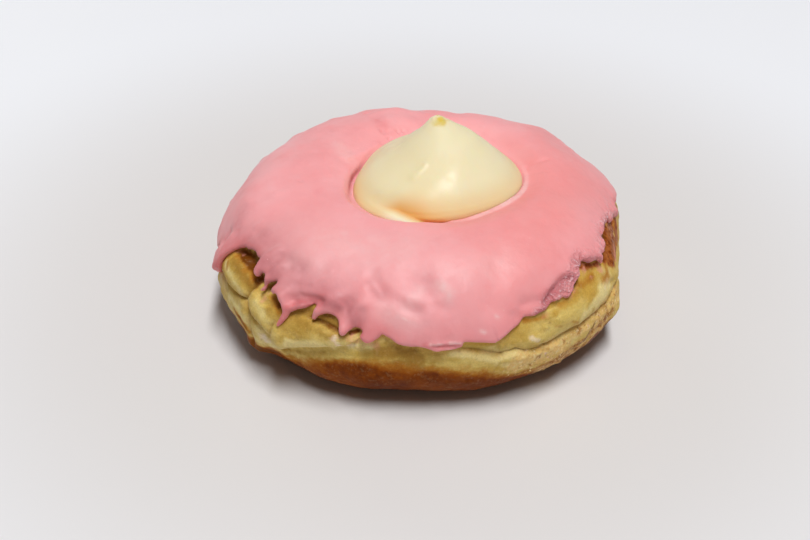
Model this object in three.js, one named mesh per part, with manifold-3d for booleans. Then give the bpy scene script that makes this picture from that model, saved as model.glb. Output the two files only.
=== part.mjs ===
// A frosted cream doughnut, in millimetres, +Z up.
// It lies on its flat fried underside, with the origin at the middle of its base.
//
// Three pieces, as the real one is put together:
//   dough  a broad yeast-raised bun, browned underneath, with a pale waist that is creased and folded where the
//          two risen halves meet, and a shallow bowl pressed into the top
//   icing  a thick pink coat that the top was dipped in: it covers the crown, runs down into the bowl, and ends
//          part-way down the side in a ragged edge with pulled peaks and drips
//   cream  one dollop piped into the bowl, with a lap low down where the piping began and a drawn-up tip
import * as THREE from "three";
import { mergeVertices } from "three/addons/utils/BufferGeometryUtils.js";
import Module from "manifold-3d";

// ---- sizes ---------------------------------------------------------------------------------------------------
const BUN_RADIUS = 52.0; // mean radius at the waist, so about 106 across and 101 front to back
const OUTLINE = [ // how the outline departs from a circle: [waves round, cosine share, sine share]
  [2, 0.0326, 0.0131], [3, 0.0072, -0.0025], [4, -0.0097, 0.0111], [5, -0.0094, 0.0007], [6, -0.0039, -0.0047],
];
const WAIST_HEIGHT = 12.5; // height of the widest line
const LOWER_ROUNDING = 18.1, LOWER_POWER = 2.2; // how far in the underside's rounding reaches, and its squareness
const CROWN_HEIGHT = 35.4; // the dough's highest ring
const UPPER_ROUNDING = 23.2, UPPER_POWER = 2.28;
const CROWN_RADIUS = BUN_RADIUS - UPPER_ROUNDING;
const BOWL_X = 3.8, BOWL_Y = 3.4; // the bowl is off the middle, to the right and back
const BOWL_LIP = 3.4; // how far the top dips from the crown to the bowl's lip
const BOWL_LIP_RADIUS = 19.0, BOWL_WALL_RADIUS = 21.5, BOWL_FLOOR_RADIUS = 12.5;
const BOWL_FLOOR_HEIGHT = 26.0;

const ICING_THICKNESS = 1.6;
const ICING_BEAD = 0.6; // the coat is thicker where it stopped running
const ICING_INNER = 1.43; // it ends on the bowl's wall, under the cream (a place on the profile, see below)
const GAP = 0.3; // between pieces that touch

const CREAM_TIP_HEIGHT = 51.4;

const SEGMENTS = 92; // round the bun
const CREAM_SEGMENTS = 52;
const CLOSER = 0.34, CLOSEST_AT = -135; // segments stand closer together at the front left, where the peaks are

// ---- small helpers -------------------------------------------------------------------------------------------
const rad = (deg) => (deg * Math.PI) / 180;
const smooth = (a, b, x) => {
  const t = Math.min(1, Math.max(0, (x - a) / (b - a)));
  return t * t * (3 - 2 * t);
};
const turn = (deg) => ((((deg + 180) % 360) + 360) % 360) - 180; // to -180..180
const bump = (x, width) => Math.exp(-((x / width) ** 2));

function outlineScale(deg) {
  let k = 1;
  for (const [waves, c, s] of OUTLINE) k += c * Math.cos(waves * rad(deg)) + s * Math.sin(waves * rad(deg));
  return k;
}

// ---- creases round the waist: lines of [angle in degrees, height], 0 degrees to the right, -90 to the front ---
const CREASES = [
  { depth: 1.9, width: 2.1, step: 0.5, line: [[-72, 17.8], [-60, 16.0], [-45, 16.6], [-36, 19.2], [-20, 19.4], [10, 17.4], [45, 18.4], [80, 16.9], [120, 18.2], [155, 17.2], [188, 19.6]] },
  { depth: 2.4, width: 2.0, step: 0.6, line: [[-172, 19.6], [-155, 21.0], [-147, 20.2], [-142, 20.6]] }, // left, above the outer lobe
  { depth: 2.4, width: 2.1, step: 1.1, line: [[-142, 20.9], [-139, 18.2], [-134, 16.0], [-128, 13.4], [-122, 15.0], [-117, 17.2], [-111, 19.6]] }, // the overlapping lap
  { depth: 2.0, width: 1.9, step: 0.0, line: [[-141, 20.0], [-141, 15.4], [-140, 11.4], [-139.5, 7.4]] }, // runs down behind the lap
];

// How far a point of the waist stands in (-) or out (+), from the creases near it.
function fold(deg, height) {
  let out = 0;
  for (const { depth, width, step, line } of CREASES) {
    let best = Infinity, above = 1;
    for (let i = 0; i + 1 < line.length; i++) {
      const shift = Math.round((deg - (line[i][0] + line[i + 1][0]) / 2) / 360) * 360;
      const ax = rad(line[i][0] + shift) * BUN_RADIUS, ay = line[i][1];
      const bx = rad(line[i + 1][0] + shift) * BUN_RADIUS, by = line[i + 1][1];
      const px = rad(deg) * BUN_RADIUS, py = height;
      const t = Math.min(1, Math.max(0, ((px - ax) * (bx - ax) + (py - ay) * (by - ay)) / ((bx - ax) ** 2 + (by - ay) ** 2)));
      const d = Math.hypot(px - ax - t * (bx - ax), py - ay - t * (by - ay));
      if (d < best) {
        best = d;
        above = py - ay - t * (by - ay) >= 0 ? 1 : -1;
      }
    }
    out -= depth * Math.exp(-best / width);
    out += step * above * bump(best, 3 * width) * Math.min(1, best / width);
  }
  return out;
}

// Broad unevenness of a hand-cut, hand-turned bun.
const lumps = (deg, height) =>
  0.4 * Math.sin(rad(3 * deg + 40) + height * 0.11) + 0.3 * Math.sin(rad(7 * deg - 60) - height * 0.17) + 0.25 * Math.cos(rad(5 * deg) + height * 0.3);

// ---- the bun's profile, from the middle of its base round to the middle of the bowl --------------------------
// Each entry is [radius, height]; outline, creases, lumps and the bowl's place come in with the angle.
// Above the waist a point is told by u: 0 at the waist, 1 on the crown's ring, 2 in the middle of the bowl.
const FLOOR_ROWS = 2, LOWER_ROWS = 6;
const UPPER_ROWS = [0, 0.06, 0.12, 0.18, 0.25, 0.34, 0.45, 0.58, 0.72, 0.86];
const BOWL_ROWS = [1.0, 1.12, 1.24, 1.34, 1.43, 1.54, 2.0];

function upperPoint(u) {
  if (u <= 1) {
    const t = (Math.PI / 2) * u;
    return [CROWN_RADIUS + UPPER_ROUNDING * Math.max(0, Math.cos(t)) ** (2 / UPPER_POWER), WAIST_HEIGHT + (CROWN_HEIGHT - WAIST_HEIGHT) * Math.sin(t) ** (2 / UPPER_POWER)];
  }
  const r = CROWN_RADIUS * (2 - u);
  return [r, topHeight(r)];
}
const radiusToU = (r) => 2 - r / CROWN_RADIUS;
const heightToU = (h) => (2 / Math.PI) * Math.asin(Math.min(1, Math.max(0, (h - WAIST_HEIGHT) / (CROWN_HEIGHT - WAIST_HEIGHT))) ** (UPPER_POWER / 2));

// Height of the dough's top inside the crown: an easy dip to the bowl's lip, then the bowl's wall and floor.
function topHeight(r) {
  const dip = BOWL_LIP * (1 - smooth(BOWL_LIP_RADIUS, CROWN_RADIUS, r));
  const drop = (CROWN_HEIGHT - BOWL_LIP - BOWL_FLOOR_HEIGHT) * (1 - smooth(BOWL_FLOOR_RADIUS, BOWL_WALL_RADIUS, r));
  return CROWN_HEIGHT - dip - drop;
}
function upperNormal(u) {
  const a = upperPoint(Math.max(0, u - 0.01)), b = upperPoint(Math.min(2, u + 0.01));
  const dr = b[0] - a[0], dz = b[1] - a[1], n = Math.hypot(dr, dz);
  return [dz / n, -dr / n];
}

// A point of the bun's surface, `lift` outside it along the profile's own normal. A coat bridges the creases.
function place(deg, [r, z], normal, lift, coat = false) {
  const edge = smooth(20, 46, r); // the outline, folds and lumps fade out towards the bowl
  const k = 1 + (outlineScale(deg) - 1) * edge;
  const side = smooth(1.5, 6, z) * edge;
  const crease = fold(deg, z) * (1 - smooth(24, 30, z));
  const out = lift + side * ((coat ? Math.max(0, crease) : crease) + lumps(deg, z));
  const rr = r * k + out * normal[0];
  const inner = 1 - smooth(20, 44, r);
  return [BOWL_X * inner + rr * Math.cos(rad(deg)), BOWL_Y * inner + rr * Math.sin(rad(deg)), z + out * normal[1]];
}

// A LatheGeometry whose every vertex is then put where at(angle, row) says.
function shapedLathe(rows, segments, at) {
  const marks = rows.map((row, j) => new THREE.Vector2(j === 0 || j === rows.length - 1 ? row.pole ? 0 : 1 : 1, j));
  const g = new THREE.LatheGeometry(marks, segments);
  const pos = g.getAttribute("position");
  for (let i = 0; i <= segments; i++)
    for (let j = 0; j < rows.length; j++) {
      const even = ((i % segments) * 360) / segments;
      const deg = even - (CLOSER * 180) / Math.PI * Math.sin(rad(even - CLOSEST_AT));
      const [x, y, z] = at(deg, rows[j], j);
      pos.setXYZ(i * rows.length + j, x, y, z);
    }
  return g;
}

// ---- dough ---------------------------------------------------------------------------------------------------
function doughShape(lift) {
  const flat = BUN_RADIUS - LOWER_ROUNDING;
  const rows = [];
  for (let i = 0; i < FLOOR_ROWS; i++) rows.push({ floor: (flat * i) / FLOOR_ROWS, pole: i === 0 });
  for (let i = 0; i < LOWER_ROWS; i++) rows.push({ lower: i / LOWER_ROWS });
  for (const u of UPPER_ROWS) rows.push({ u });
  for (const u of BOWL_ROWS) rows.push({ u, pole: u === 2 });
  return shapedLathe(rows, SEGMENTS, (deg, { floor, lower, u }) => {
    if (floor !== undefined) return [floor * Math.cos(rad(deg)), floor * Math.sin(rad(deg)), -lift];
    if (u !== undefined) return place(deg, upperPoint(u), u === 2 ? [0, 1] : u === 0 ? [1, 0] : upperNormal(u), lift);
    const t = (Math.PI / 2) * lower;
    const r = flat + LOWER_ROUNDING * Math.sin(t) ** (2 / LOWER_POWER), z = WAIST_HEIGHT * (1 - Math.cos(t) ** (2 / LOWER_POWER));
    return place(deg, [r, z], lower === 0 ? [0, -1] : [Math.sin(t), -Math.cos(t)], lift);
  });
}

// ---- icing ---------------------------------------------------------------------------------------------------
// Where the coat's edge lies, as a height on the bun's side, between the peaks: [angle, height].
const EDGE = [
  [-180, 21.5], [-172, 19.0], [-161, 22.2], [-154, 27.2], [-148, 30.2], [-140, 28.6], [-134, 28.0], [-129, 24.4], [-121, 26.0],
  [-113, 23.6], [-102, 22.6], [-90, 20.8], [-80, 20.6], [-70, 20.2], [-62, 24.2], [-50, 25.8], [-38, 27.8], [-25, 29.6],
  [-18, 31.2], [-8, 29.4], [6, 27.4], [20, 25.6], [36, 23.8], [52, 25.0], [70, 22.6], [88, 24.2], [106, 22.0], [124, 24.6], [142, 22.4], [160, 24.0], [180, 21.5],
];
// Pulled peaks and drips: [angle, how far down they reach, width in degrees].
const PEAKS = [
  [-166, 6.5, 3.2], [-141, 3.0, 2.2], [-135.5, 3.2, 2.0], [-130, 6.0, 2.4], [-120.5, 3.0, 2.2], [-112, 2.2, 2.6], [-105.5, 2.2, 2.6],
  [-84, 1.4, 4.0], [-3, 3.0, 3.6], [28, 2.6, 4.4], [61, 3.2, 4.4], [79, 2.2, 4.6], [97, 3.4, 4.2], [133, 3.0, 4.2], [151, 2.4, 4.0], [171, 3.2, 3.6],
];
function edgeHeight(deg) {
  const a = turn(deg);
  let i = 0;
  while (i + 2 < EDGE.length && EDGE[i + 1][0] <= a) i++;
  const [a0, h0] = EDGE[i], [a1, h1] = EDGE[i + 1];
  let h = h0 + (h1 - h0) * smooth(a0, a1, a);
  for (const [at, reach, width] of PEAKS) h -= reach * bump(turn(a - at), width);
  return h;
}

// The coat's thickness is uneven: it pooled and dragged as it set.
const pooling = (deg, u) => 0.3 * Math.sin(rad(4 * deg + 100)) * Math.sin(7 * u) + 0.22 * Math.sin(rad(9 * deg) + 5 * u) + 0.16 * Math.sin(rad(14 * deg + 30) - 4 * u);

// Outside, up from the edge to the crown's ring (t from 0 to 1), then on to the bowl's wall (u from 1 on); and back
// underneath, row by row with the dough it lies on, as far as the edge reaches.
const OVER = [0, 0.06, 0.2, 0.38, 0.58, 0.8];
function icingShape() {
  const inBowl = BOWL_ROWS.filter((u) => u < ICING_INNER);
  const rows = [
    ...OVER.map((t) => ({ t, rim: t === 0 ? 0.5 : 1 })), ...inBowl.map((u) => ({ u, rim: 1 })), { u: ICING_INNER, rim: 0.6 },
    { u: ICING_INNER }, ...inBowl.reverse().map((u) => ({ u })), ...UPPER_ROWS.slice(1).reverse().map((u) => ({ u })), { u: 0 }, { t: 0, rim: 0.5 },
  ];
  return shapedLathe(rows, SEGMENTS, (deg, { t, u, rim }) => {
    const uEdge = heightToU(edgeHeight(deg));
    const at = t === undefined ? Math.max(u, uEdge) : uEdge + (1 - uEdge) * t;
    const thick = ICING_THICKNESS + pooling(deg, at) * smooth(ICING_INNER, 1.1, at) + ICING_BEAD * bump(at - uEdge, 0.12);
    return place(deg, upperPoint(at), upperNormal(at), GAP + (rim ? rim * thick : 0.05), true);
  });
}

// ---- cream ---------------------------------------------------------------------------------------------------
// The dollop from its lip to its tip: [height, radius, middle's x, middle's y].
const CREAM_LINE = [
  [36.9, 20.9, 3.6, 3.0], [38.5, 18.3, 4.0, 2.6], [41.0, 14.9, 4.5, 2.7], [43.5, 11.4, 4.6, 3.0],
  [46.0, 7.9, 4.2, 3.4], [48.2, 4.8, 3.6, 3.8], [50.1, 2.3, 3.1, 4.2], [51.1, 1.2, 2.9, 4.4], [CREAM_TIP_HEIGHT, 0, 2.9, 4.4],
];
const CREAM_LIP = 21.7; // the lip's radius: it rests on the icing
function creamShape() {
  const rest = ICING_THICKNESS + GAP * 2 + 0.1; // clear of the icing's upper face
  const rows = [
    { floor: true, u: 2, pole: true }, { floor: true, u: radiusToU(9) }, { floor: true, u: radiusToU(14.8) },
    { u: 1.47 }, { u: 1.43 }, { u: 1.34 }, { lip: 0 }, { lip: 1 }, { lip: 2 },
    ...CREAM_LINE.map((line, i) => ({ line, pole: i === CREAM_LINE.length - 1 })),
  ];
  return shapedLathe(rows, CREAM_SEGMENTS, (deg, { floor, u, lip, line }) => {
    if (u !== undefined) return place(deg, upperPoint(u), u === 2 ? [0, 1] : upperNormal(u), floor ? GAP + 0.1 : rest);
    const a = turn(deg);
    // the first turn's lap: a low tongue at the front left with a groove over it
    const lap = bump(turn(a + 122), 30);
    if (lip !== undefined) {
      const [r, z] = place(0, upperPoint(radiusToU(CREAM_LIP)), upperNormal(radiusToU(CREAM_LIP)), rest);
      const out = (r - BOWL_X) * (1 + 0.012 * Math.cos(rad(2 * a - 40))) + [-1.1, 0, -0.25][lip] + lap * [0.2, 0.5, 0.1][lip];
      return [BOWL_X + out * Math.cos(rad(deg)), BOWL_Y + out * Math.sin(rad(deg)), z0(out) + [0.05, 0.45, 1.2][lip]];
    }
    const [z, radius, x, y] = line;
    const low = 1 - smooth(36, CREAM_TIP_HEIGHT, z);
    const k = 1 + (0.04 - 0.07 * low) * Math.cos(rad(2 * a)) + 0.025 * low * Math.sin(rad(2 * a)) + low * (0.03 * Math.cos(rad(3 * a)) - 0.03 * Math.sin(rad(3 * a)));
    const belly = 1.3 * Math.min(1, radius) * bump(z - 43, 4.5) * bump(turn(a + 80), 65); // the front is the fuller side
    const r = radius * k + belly - 1.2 * lap * bump(z - 37.2, 1.3);
    return [x + r * Math.cos(rad(deg)), y + r * Math.sin(rad(deg)), z];
  });
}
// Height of the icing's upper face, plus the gap, at a distance from the bowl's middle.
function z0(r) {
  let lo = 15, hi = 27;
  const at = (q) => {
    const n = upperNormal(radiusToU(q)), [pr, pz] = upperPoint(radiusToU(q)), lift = ICING_THICKNESS + GAP * 2 + 0.1;
    return [pr + lift * n[0], pz + lift * n[1]];
  };
  for (let i = 0; i < 40; i++) {
    const mid = (lo + hi) / 2;
    if (at(mid)[0] < r) lo = mid;
    else hi = mid;
  }
  return at(lo)[1];
}

// ---- welding and tidying -------------------------------------------------------------------------------------
const wasm = await Module();
wasm.setup();
function toSolid(geometry) {
  const g = geometry.clone();
  g.deleteAttribute("normal");
  g.deleteAttribute("uv");
  const merged = mergeVertices(g, 1e-4);
  const index = [];
  const src = merged.index.array;
  for (let i = 0; i < src.length; i += 3) {
    const [a, b, c] = [src[i], src[i + 1], src[i + 2]];
    if (a !== b && b !== c && a !== c) index.push(a, b, c); // the lathe's poles leave triangles with no area
  }
  const made = () => new wasm.Manifold(new wasm.Mesh({ numProp: 3, vertProperties: merged.attributes.position.array, triVerts: new Uint32Array(index) }));
  let solid = made();
  if (solid.volume() < 0) {
    for (let i = 0; i < index.length; i += 3) [index[i + 1], index[i + 2]] = [index[i + 2], index[i + 1]];
    solid = made();
  }
  return solid;
}
function toGeometry(solid) {
  const m = solid.getMesh();
  const v = new Float32Array(m.numVert * 3);
  for (let i = 0; i < m.numVert; i++) v.set(m.vertProperties.subarray(i * m.numProp, i * m.numProp + 3), i * 3);
  const g = new THREE.BufferGeometry();
  g.setAttribute("position", new THREE.BufferAttribute(v, 3));
  g.setIndex(new THREE.BufferAttribute(new Uint32Array(m.triVerts), 1));
  g.computeVertexNormals();
  return g;
}

const dough = toSolid(doughShape(0));
const icing = toSolid(icingShape());
const cream = toSolid(creamShape());

// ---- the object ----------------------------------------------------------------------------------------------
const group = new THREE.Group();
function add(name, solid, material) {
  const mesh = new THREE.Mesh(toGeometry(solid), material);
  mesh.name = name;
  group.add(mesh);
}
add("dough", dough, new THREE.MeshStandardMaterial({ color: 0xc9a765, roughness: 0.6, metalness: 0 }));
add("icing", icing, new THREE.MeshStandardMaterial({ color: 0xf3a3a8, roughness: 0.45, metalness: 0 }));
add("cream", cream, new THREE.MeshStandardMaterial({ color: 0xefe0ae, roughness: 0.3, metalness: 0 }));

export default group;
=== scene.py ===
# A frosted cream doughnut: browned, creased dough, a pulled pink coat of icing and a glossy dollop of cream.
# Lengths in the shape code are in millimetres and become metres when a mesh is made.
import math

import bpy
import numpy as np
from mathutils import Matrix


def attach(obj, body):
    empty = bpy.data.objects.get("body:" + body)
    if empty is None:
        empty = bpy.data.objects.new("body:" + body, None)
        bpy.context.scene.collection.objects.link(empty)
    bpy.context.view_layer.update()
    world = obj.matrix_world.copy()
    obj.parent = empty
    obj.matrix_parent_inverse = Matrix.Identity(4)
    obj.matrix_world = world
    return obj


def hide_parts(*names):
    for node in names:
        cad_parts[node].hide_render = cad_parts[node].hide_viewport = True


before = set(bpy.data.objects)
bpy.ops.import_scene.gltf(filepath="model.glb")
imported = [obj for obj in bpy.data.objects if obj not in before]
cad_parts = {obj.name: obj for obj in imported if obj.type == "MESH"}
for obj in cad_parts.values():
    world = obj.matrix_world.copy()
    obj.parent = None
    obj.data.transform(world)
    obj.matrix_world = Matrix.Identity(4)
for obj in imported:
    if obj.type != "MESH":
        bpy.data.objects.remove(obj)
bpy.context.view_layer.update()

MM = 0.001

# ------------------------------------------------------------------------------------------------- small helpers


def smooth(a, b, x):
    t = np.clip((np.asarray(x, float) - a) / (b - a), 0.0, 1.0)
    return t * t * (3 - 2 * t)


def bump(x, width):
    return np.exp(-((np.asarray(x, float) / width) ** 2))


def wrap(deg):
    return (np.asarray(deg, float) + 180.0) % 360.0 - 180.0


def _lattice(ix, iy, iz, seed):
    h = (ix.astype(np.int64) * 374761393 + iy.astype(np.int64) * 668265263 + iz.astype(np.int64) * 1274126177 + seed * 974711) & 0xFFFFFFFF
    h = ((h ^ (h >> 13)) * 1103515245) & 0xFFFFFFFF
    h = ((h ^ (h >> 15)) * 747796405) & 0xFFFFFFFF
    h = h ^ (h >> 16)
    return (h & 0xFFFF).astype(np.float32) / 32767.5 - 1.0


def noise(p, scale, seed=0):
    """Smooth value noise from -1 to 1, with features about `scale` across, at points p (..., 3)."""
    q = np.asarray(p, np.float32) / scale + 137.31
    i = np.floor(q).astype(np.int32)
    f = q - i
    f = f * f * f * (f * (f * 6 - 15) + 10)
    out = np.zeros(q.shape[:-1], np.float32)
    for dx in (0, 1):
        wx = f[..., 0] if dx else 1 - f[..., 0]
        for dy in (0, 1):
            wy = f[..., 1] if dy else 1 - f[..., 1]
            for dz in (0, 1):
                wz = f[..., 2] if dz else 1 - f[..., 2]
                out += wx * wy * wz * _lattice(i[..., 0] + dx, i[..., 1] + dy, i[..., 2] + dz, seed)
    return out


def fractal(p, scale, seed=0, octaves=3, fall=0.5):
    out, a, total = 0.0, 1.0, 0.0
    for k in range(octaves):
        out = out + a * noise(p, scale / 2**k, seed + 17 * k)
        total += a
        a *= fall
    return out / total * 1.4


def ease_curve(xs, ys, x):
    """Monotone cubic through (xs, ys), so that it never overshoots."""
    xs, ys, x = np.asarray(xs, float), np.asarray(ys, float), np.asarray(x, float)
    h = np.diff(xs)
    d = np.diff(ys) / h
    m = np.zeros_like(ys)
    m[0], m[-1] = d[0], d[-1]
    for k in range(1, len(xs) - 1):
        if d[k - 1] * d[k] > 0:
            w1, w2 = 2 * h[k] + h[k - 1], h[k] + 2 * h[k - 1]
            m[k] = (w1 + w2) / (w1 / d[k - 1] + w2 / d[k])
    i = np.clip(np.searchsorted(xs, x) - 1, 0, len(h) - 1)
    t = np.clip((x - xs[i]) / h[i], 0, 1)
    t2, t3 = t * t, t * t * t
    return (2 * t3 - 3 * t2 + 1) * ys[i] + (t3 - 2 * t2 + t) * h[i] * m[i] + (-2 * t3 + 3 * t2) * ys[i + 1] + (t3 - t2) * h[i] * m[i + 1]


def new_mesh(name, verts_mm, faces):
    mesh = bpy.data.meshes.new(name)
    verts = np.asarray(verts_mm, np.float64) * MM
    mesh.from_pydata(verts.tolist(), [], faces if isinstance(faces, list) else faces.tolist())
    mesh.validate()
    mesh.update()
    mesh.polygons.foreach_set("use_smooth", np.ones(len(mesh.polygons), bool))
    obj = bpy.data.objects.new(name, mesh)
    bpy.context.scene.collection.objects.link(obj)
    return obj


def paint(obj, name, rgba):
    """A colour attribute with one value a vertex: masks that the materials read."""
    layer = obj.data.color_attributes.new(name=name, type="FLOAT_COLOR", domain="POINT")
    data = np.ones((len(obj.data.vertices), 4), np.float32)
    rgba = np.asarray(rgba, np.float32)
    data[:, : rgba.shape[1]] = rgba
    layer.data.foreach_set("color", np.clip(data, 0, 1).ravel())


# ------------------------------------------------------------------------------------- the bun's underlying form
# The same sizes as the frame's own solids.
BUN_RADIUS = 52.0
OUTLINE = [(2, 0.0326, 0.0131), (3, 0.0072, -0.0025), (4, -0.0097, 0.0111), (5, -0.0094, 0.0007), (6, -0.0039, -0.0047)]
WAIST, LOWER_ROUND, LOWER_POWER = 12.5, 18.1, 2.2
CROWN, UPPER_ROUND, UPPER_POWER = 35.4, 23.2, 2.28
CROWN_RADIUS = BUN_RADIUS - UPPER_ROUND
BOWL_X, BOWL_Y, BOWL_DIP, LIP_RADIUS, WALL_RADIUS, FLOOR_RADIUS, BOWL_FLOOR = 3.8, 3.4, 3.4, 19.0, 21.5, 12.5, 26.0
FLAT = BUN_RADIUS - LOWER_ROUND


def outline(th):
    k = np.ones_like(th)
    for n, c, s in OUTLINE:
        k = k + c * np.cos(n * th) + s * np.sin(n * th)
    return k


def bowl_height(r):
    return CROWN - BOWL_DIP * (1 - smooth(LIP_RADIUS, CROWN_RADIUS, r)) - (CROWN - BOWL_DIP - BOWL_FLOOR) * (1 - smooth(FLOOR_RADIUS, WALL_RADIUS, r))


def make_profile(n=5000):
    a = np.linspace(0, FLAT, 400)[:-1]
    rows = [np.c_[a, 0 * a]]
    t = np.linspace(0, np.pi / 2, 1200)[:-1]
    rows.append(np.c_[FLAT + LOWER_ROUND * np.sin(t) ** (2 / LOWER_POWER), WAIST * (1 - np.cos(t) ** (2 / LOWER_POWER))])
    rows.append(np.c_[CROWN_RADIUS + UPPER_ROUND * np.cos(t) ** (2 / UPPER_POWER), WAIST + (CROWN - WAIST) * np.sin(t) ** (2 / UPPER_POWER)])
    r = np.linspace(CROWN_RADIUS, 0, 700)
    rows.append(np.c_[r, bowl_height(r)])
    p = np.vstack(rows)
    length = np.r_[0, np.cumsum(np.hypot(*np.diff(p, axis=0).T))]
    s = np.linspace(0, length[-1], n)
    q = np.c_[np.interp(s, length, p[:, 0]), np.interp(s, length, p[:, 1])]
    g = np.gradient(q, axis=0)
    ker = np.ones(25) / 25
    g = np.c_[np.convolve(np.pad(g[:, 0], 12, "edge"), ker, "valid"), np.convolve(np.pad(g[:, 1], 12, "edge"), ker, "valid")]
    g /= np.linalg.norm(g, axis=1)[:, None]
    return s, q, np.c_[g[:, 1], -g[:, 0]]


PS, PQ, PN = make_profile()
I_FLAT = int(np.argmax(PS > FLAT))
I_WAIST = int(np.argmax(PQ[:, 0]))
I_CROWN = I_WAIST + int(np.argmax(PQ[I_WAIST:, 1]))
S_FLAT, S_WAIST, S_CROWN, S_END = PS[I_FLAT], PS[I_WAIST], PS[I_CROWN], PS[-1]


def s_of_height(z):
    """Place along the profile, on the outer side of the bun, of a height."""
    z = np.asarray(z, float)
    return np.where(z < WAIST, np.interp(z, PQ[I_FLAT:I_WAIST, 1], PS[I_FLAT:I_WAIST]), np.interp(z, PQ[I_WAIST:I_CROWN, 1], PS[I_WAIST:I_CROWN]))


def height_of_s(s):
    return np.interp(s, PS, PQ[:, 1])


def surface(th, s, lift=0.0):
    """Points of the bun's underlying form, `lift` outside it."""
    r, z = np.interp(s, PS, PQ[:, 0]), np.interp(s, PS, PQ[:, 1])
    nr, nz = np.interp(s, PS, PN[:, 0]), np.interp(s, PS, PN[:, 1])
    k = 1 + (outline(th) - 1) * smooth(20, 46, r)
    inner = 1 - smooth(20, 44, r)
    rr = r * k + lift * nr
    return np.stack([BOWL_X * inner + rr * np.cos(th), BOWL_Y * inner + rr * np.sin(th), z + lift * nz], -1)


# ------------------------------------------------------------------- creases, folds and lobes of the dough's side
UNROLL = 50.0  # radius used to unroll angles into millimetres


def line_field(deg, s, line):
    """For points (deg, s): signed distance to a line (+ on its left), unit left normal, distance along, length."""
    line = np.asarray(line, float)
    lx, ly = np.radians(line[:, 0]) * UNROLL, s_of_height(line[:, 1])
    mid = 0.5 * (line[:, 0].min() + line[:, 0].max())
    px, py = np.radians(wrap(deg - mid) + mid) * UNROLL, s
    best = np.full(px.shape, 1e9)
    sd, nx, ny, along = np.zeros(px.shape), np.zeros(px.shape), np.zeros(px.shape), np.zeros(px.shape)
    run = 0.0
    for i in range(len(lx) - 1):
        ex, ey = lx[i + 1] - lx[i], ly[i + 1] - ly[i]
        ll = math.hypot(ex, ey)
        t = np.clip(((px - lx[i]) * ex + (py - ly[i]) * ey) / ll**2, 0, 1)
        dx, dy = px - lx[i] - t * ex, py - ly[i] - t * ey
        d = np.hypot(dx, dy)
        side = np.where((ex * dy - ey * dx) >= 0, 1.0, -1.0)
        m = d < best
        best = np.where(m, d, best)
        sd = np.where(m, side * d, sd)
        nx, ny = np.where(m, -ey / ll, nx), np.where(m, ex / ll, ny)
        along = np.where(m, run + t * ll, along)
        run += ll
    return sd, nx, ny, along, run


# line: [(angle, height)], its left side is the lobe that lies over the other. All sizes in mm.
# deep, wide: the crease; over, under: the swelling of the lobe on either side (amount, how far off); step: how far
# the upper lobe stands out past the lower; hang: how far its edge droops over the crease; ends: fade-in at each end.
CREASES = [
    dict(line=[(-82, 19.8), (-78, 19.0), (-75, 18.4), (-71.5, 17.4), (-68.5, 16.5)], deep=0.7, wide=0.9, over=(0.35, 2.4), under=(0.4, 2.0), step=0.2, hang=0.2, ends=(5, 0.1)),
    dict(line=[(-68.5, 16.5), (-66.5, 17.0), (-64, 17.2), (-61.5, 16.2), (-57.5, 15.8), (-54.5, 16.4), (-48, 17.2), (-42, 17.4), (-37.5, 17.9), (-30, 18.1), (-26, 19.1),
               (-14, 19.2), (2, 17.6), (20, 18.6), (40, 18.8), (60, 16.9), (80, 17.4), (104, 18.9), (126, 17.6), (150, 16.8), (170, 18.0), (183, 18.6), (190, 17.4)],
         deep=0.85, wide=0.9, over=(0.5, 2.6), under=(0.4, 2.2), step=0.3, hang=0.35, ends=(0.1, 7)),
    dict(line=[(-170, 14.2), (-166, 15.4), (-163, 16.7), (-156, 19.3), (-151.5, 19.0), (-147, 19.3), (-143.5, 20.2), (-142, 21.3)], deep=0.9, wide=0.9, over=(0.7, 2.4), under=(0.4, 2.2), step=0.5, hang=0.3, ends=(5, 1)),
    dict(line=[(-128, 12.3), (-129.5, 13.6), (-132, 15.0), (-134.5, 16.5), (-138, 17.8), (-141.2, 19.6), (-142, 21.2), (-141.2, 23.4), (-140, 25.0)][::-1], deep=1.15, wide=0.85, over=(0.8, 2.2), under=(0.3, 1.6), step=0.9, hang=0.45, ends=(1.5, 2)),
    dict(line=[(-142, 20.2), (-141.2, 17.1), (-141, 13.2), (-140, 10.6), (-140.5, 8.0), (-141, 6.0)], deep=0.8, wide=0.8, over=(0.35, 1.6), under=(0.5, 2.0), step=-0.3, hang=0.15, ends=(0.5, 2.5)),
    dict(line=[(-126.4, 11.4), (-128.4, 12.6), (-130.4, 14.2), (-131.4, 16.0), (-131.2, 18.6), (-130, 21)][::-1], deep=0.75, wide=0.6, over=(0.45, 1.8), under=(0.2, 1.2), step=0.25, hang=0.25, ends=(2.5, 1.5)),
    dict(line=[(-130.4, 12.2), (-128.5, 13.4), (-127, 14.4), (-123.5, 15.6), (-119, 17.1), (-115, 18.3), (-110.5, 19.3), (-108, 20.6), (-106, 22.2)], deep=0.35, wide=0.6, over=(0.55, 2.0), under=(-0.15, 1.4), step=1.25, hang=0.75, ends=(1.0, 3)),
    # short folds that the photo's far side would have too
    dict(line=[(72, 24.5), (76, 21.5), (82, 19.0), (90, 17.6)][::-1], deep=0.8, wide=0.8, over=(0.4, 2), under=(0.3, 2), step=0.4, hang=0.3, ends=(2, 3)),
    dict(line=[(136, 8.0), (134, 12.0), (131, 15.5), (127, 17.6)][::-1], deep=0.7, wide=0.8, over=(0.4, 2), under=(0.3, 2), step=0.3, hang=0.2, ends=(1, 3)),
    dict(line=[(22, 8.5), (26, 12.5), (31, 15.5), (38, 18.6)], deep=0.7, wide=0.8, over=(0.4, 2), under=(0.3, 2), step=0.3, hang=0.2, ends=(3, 1)),
]
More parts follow.
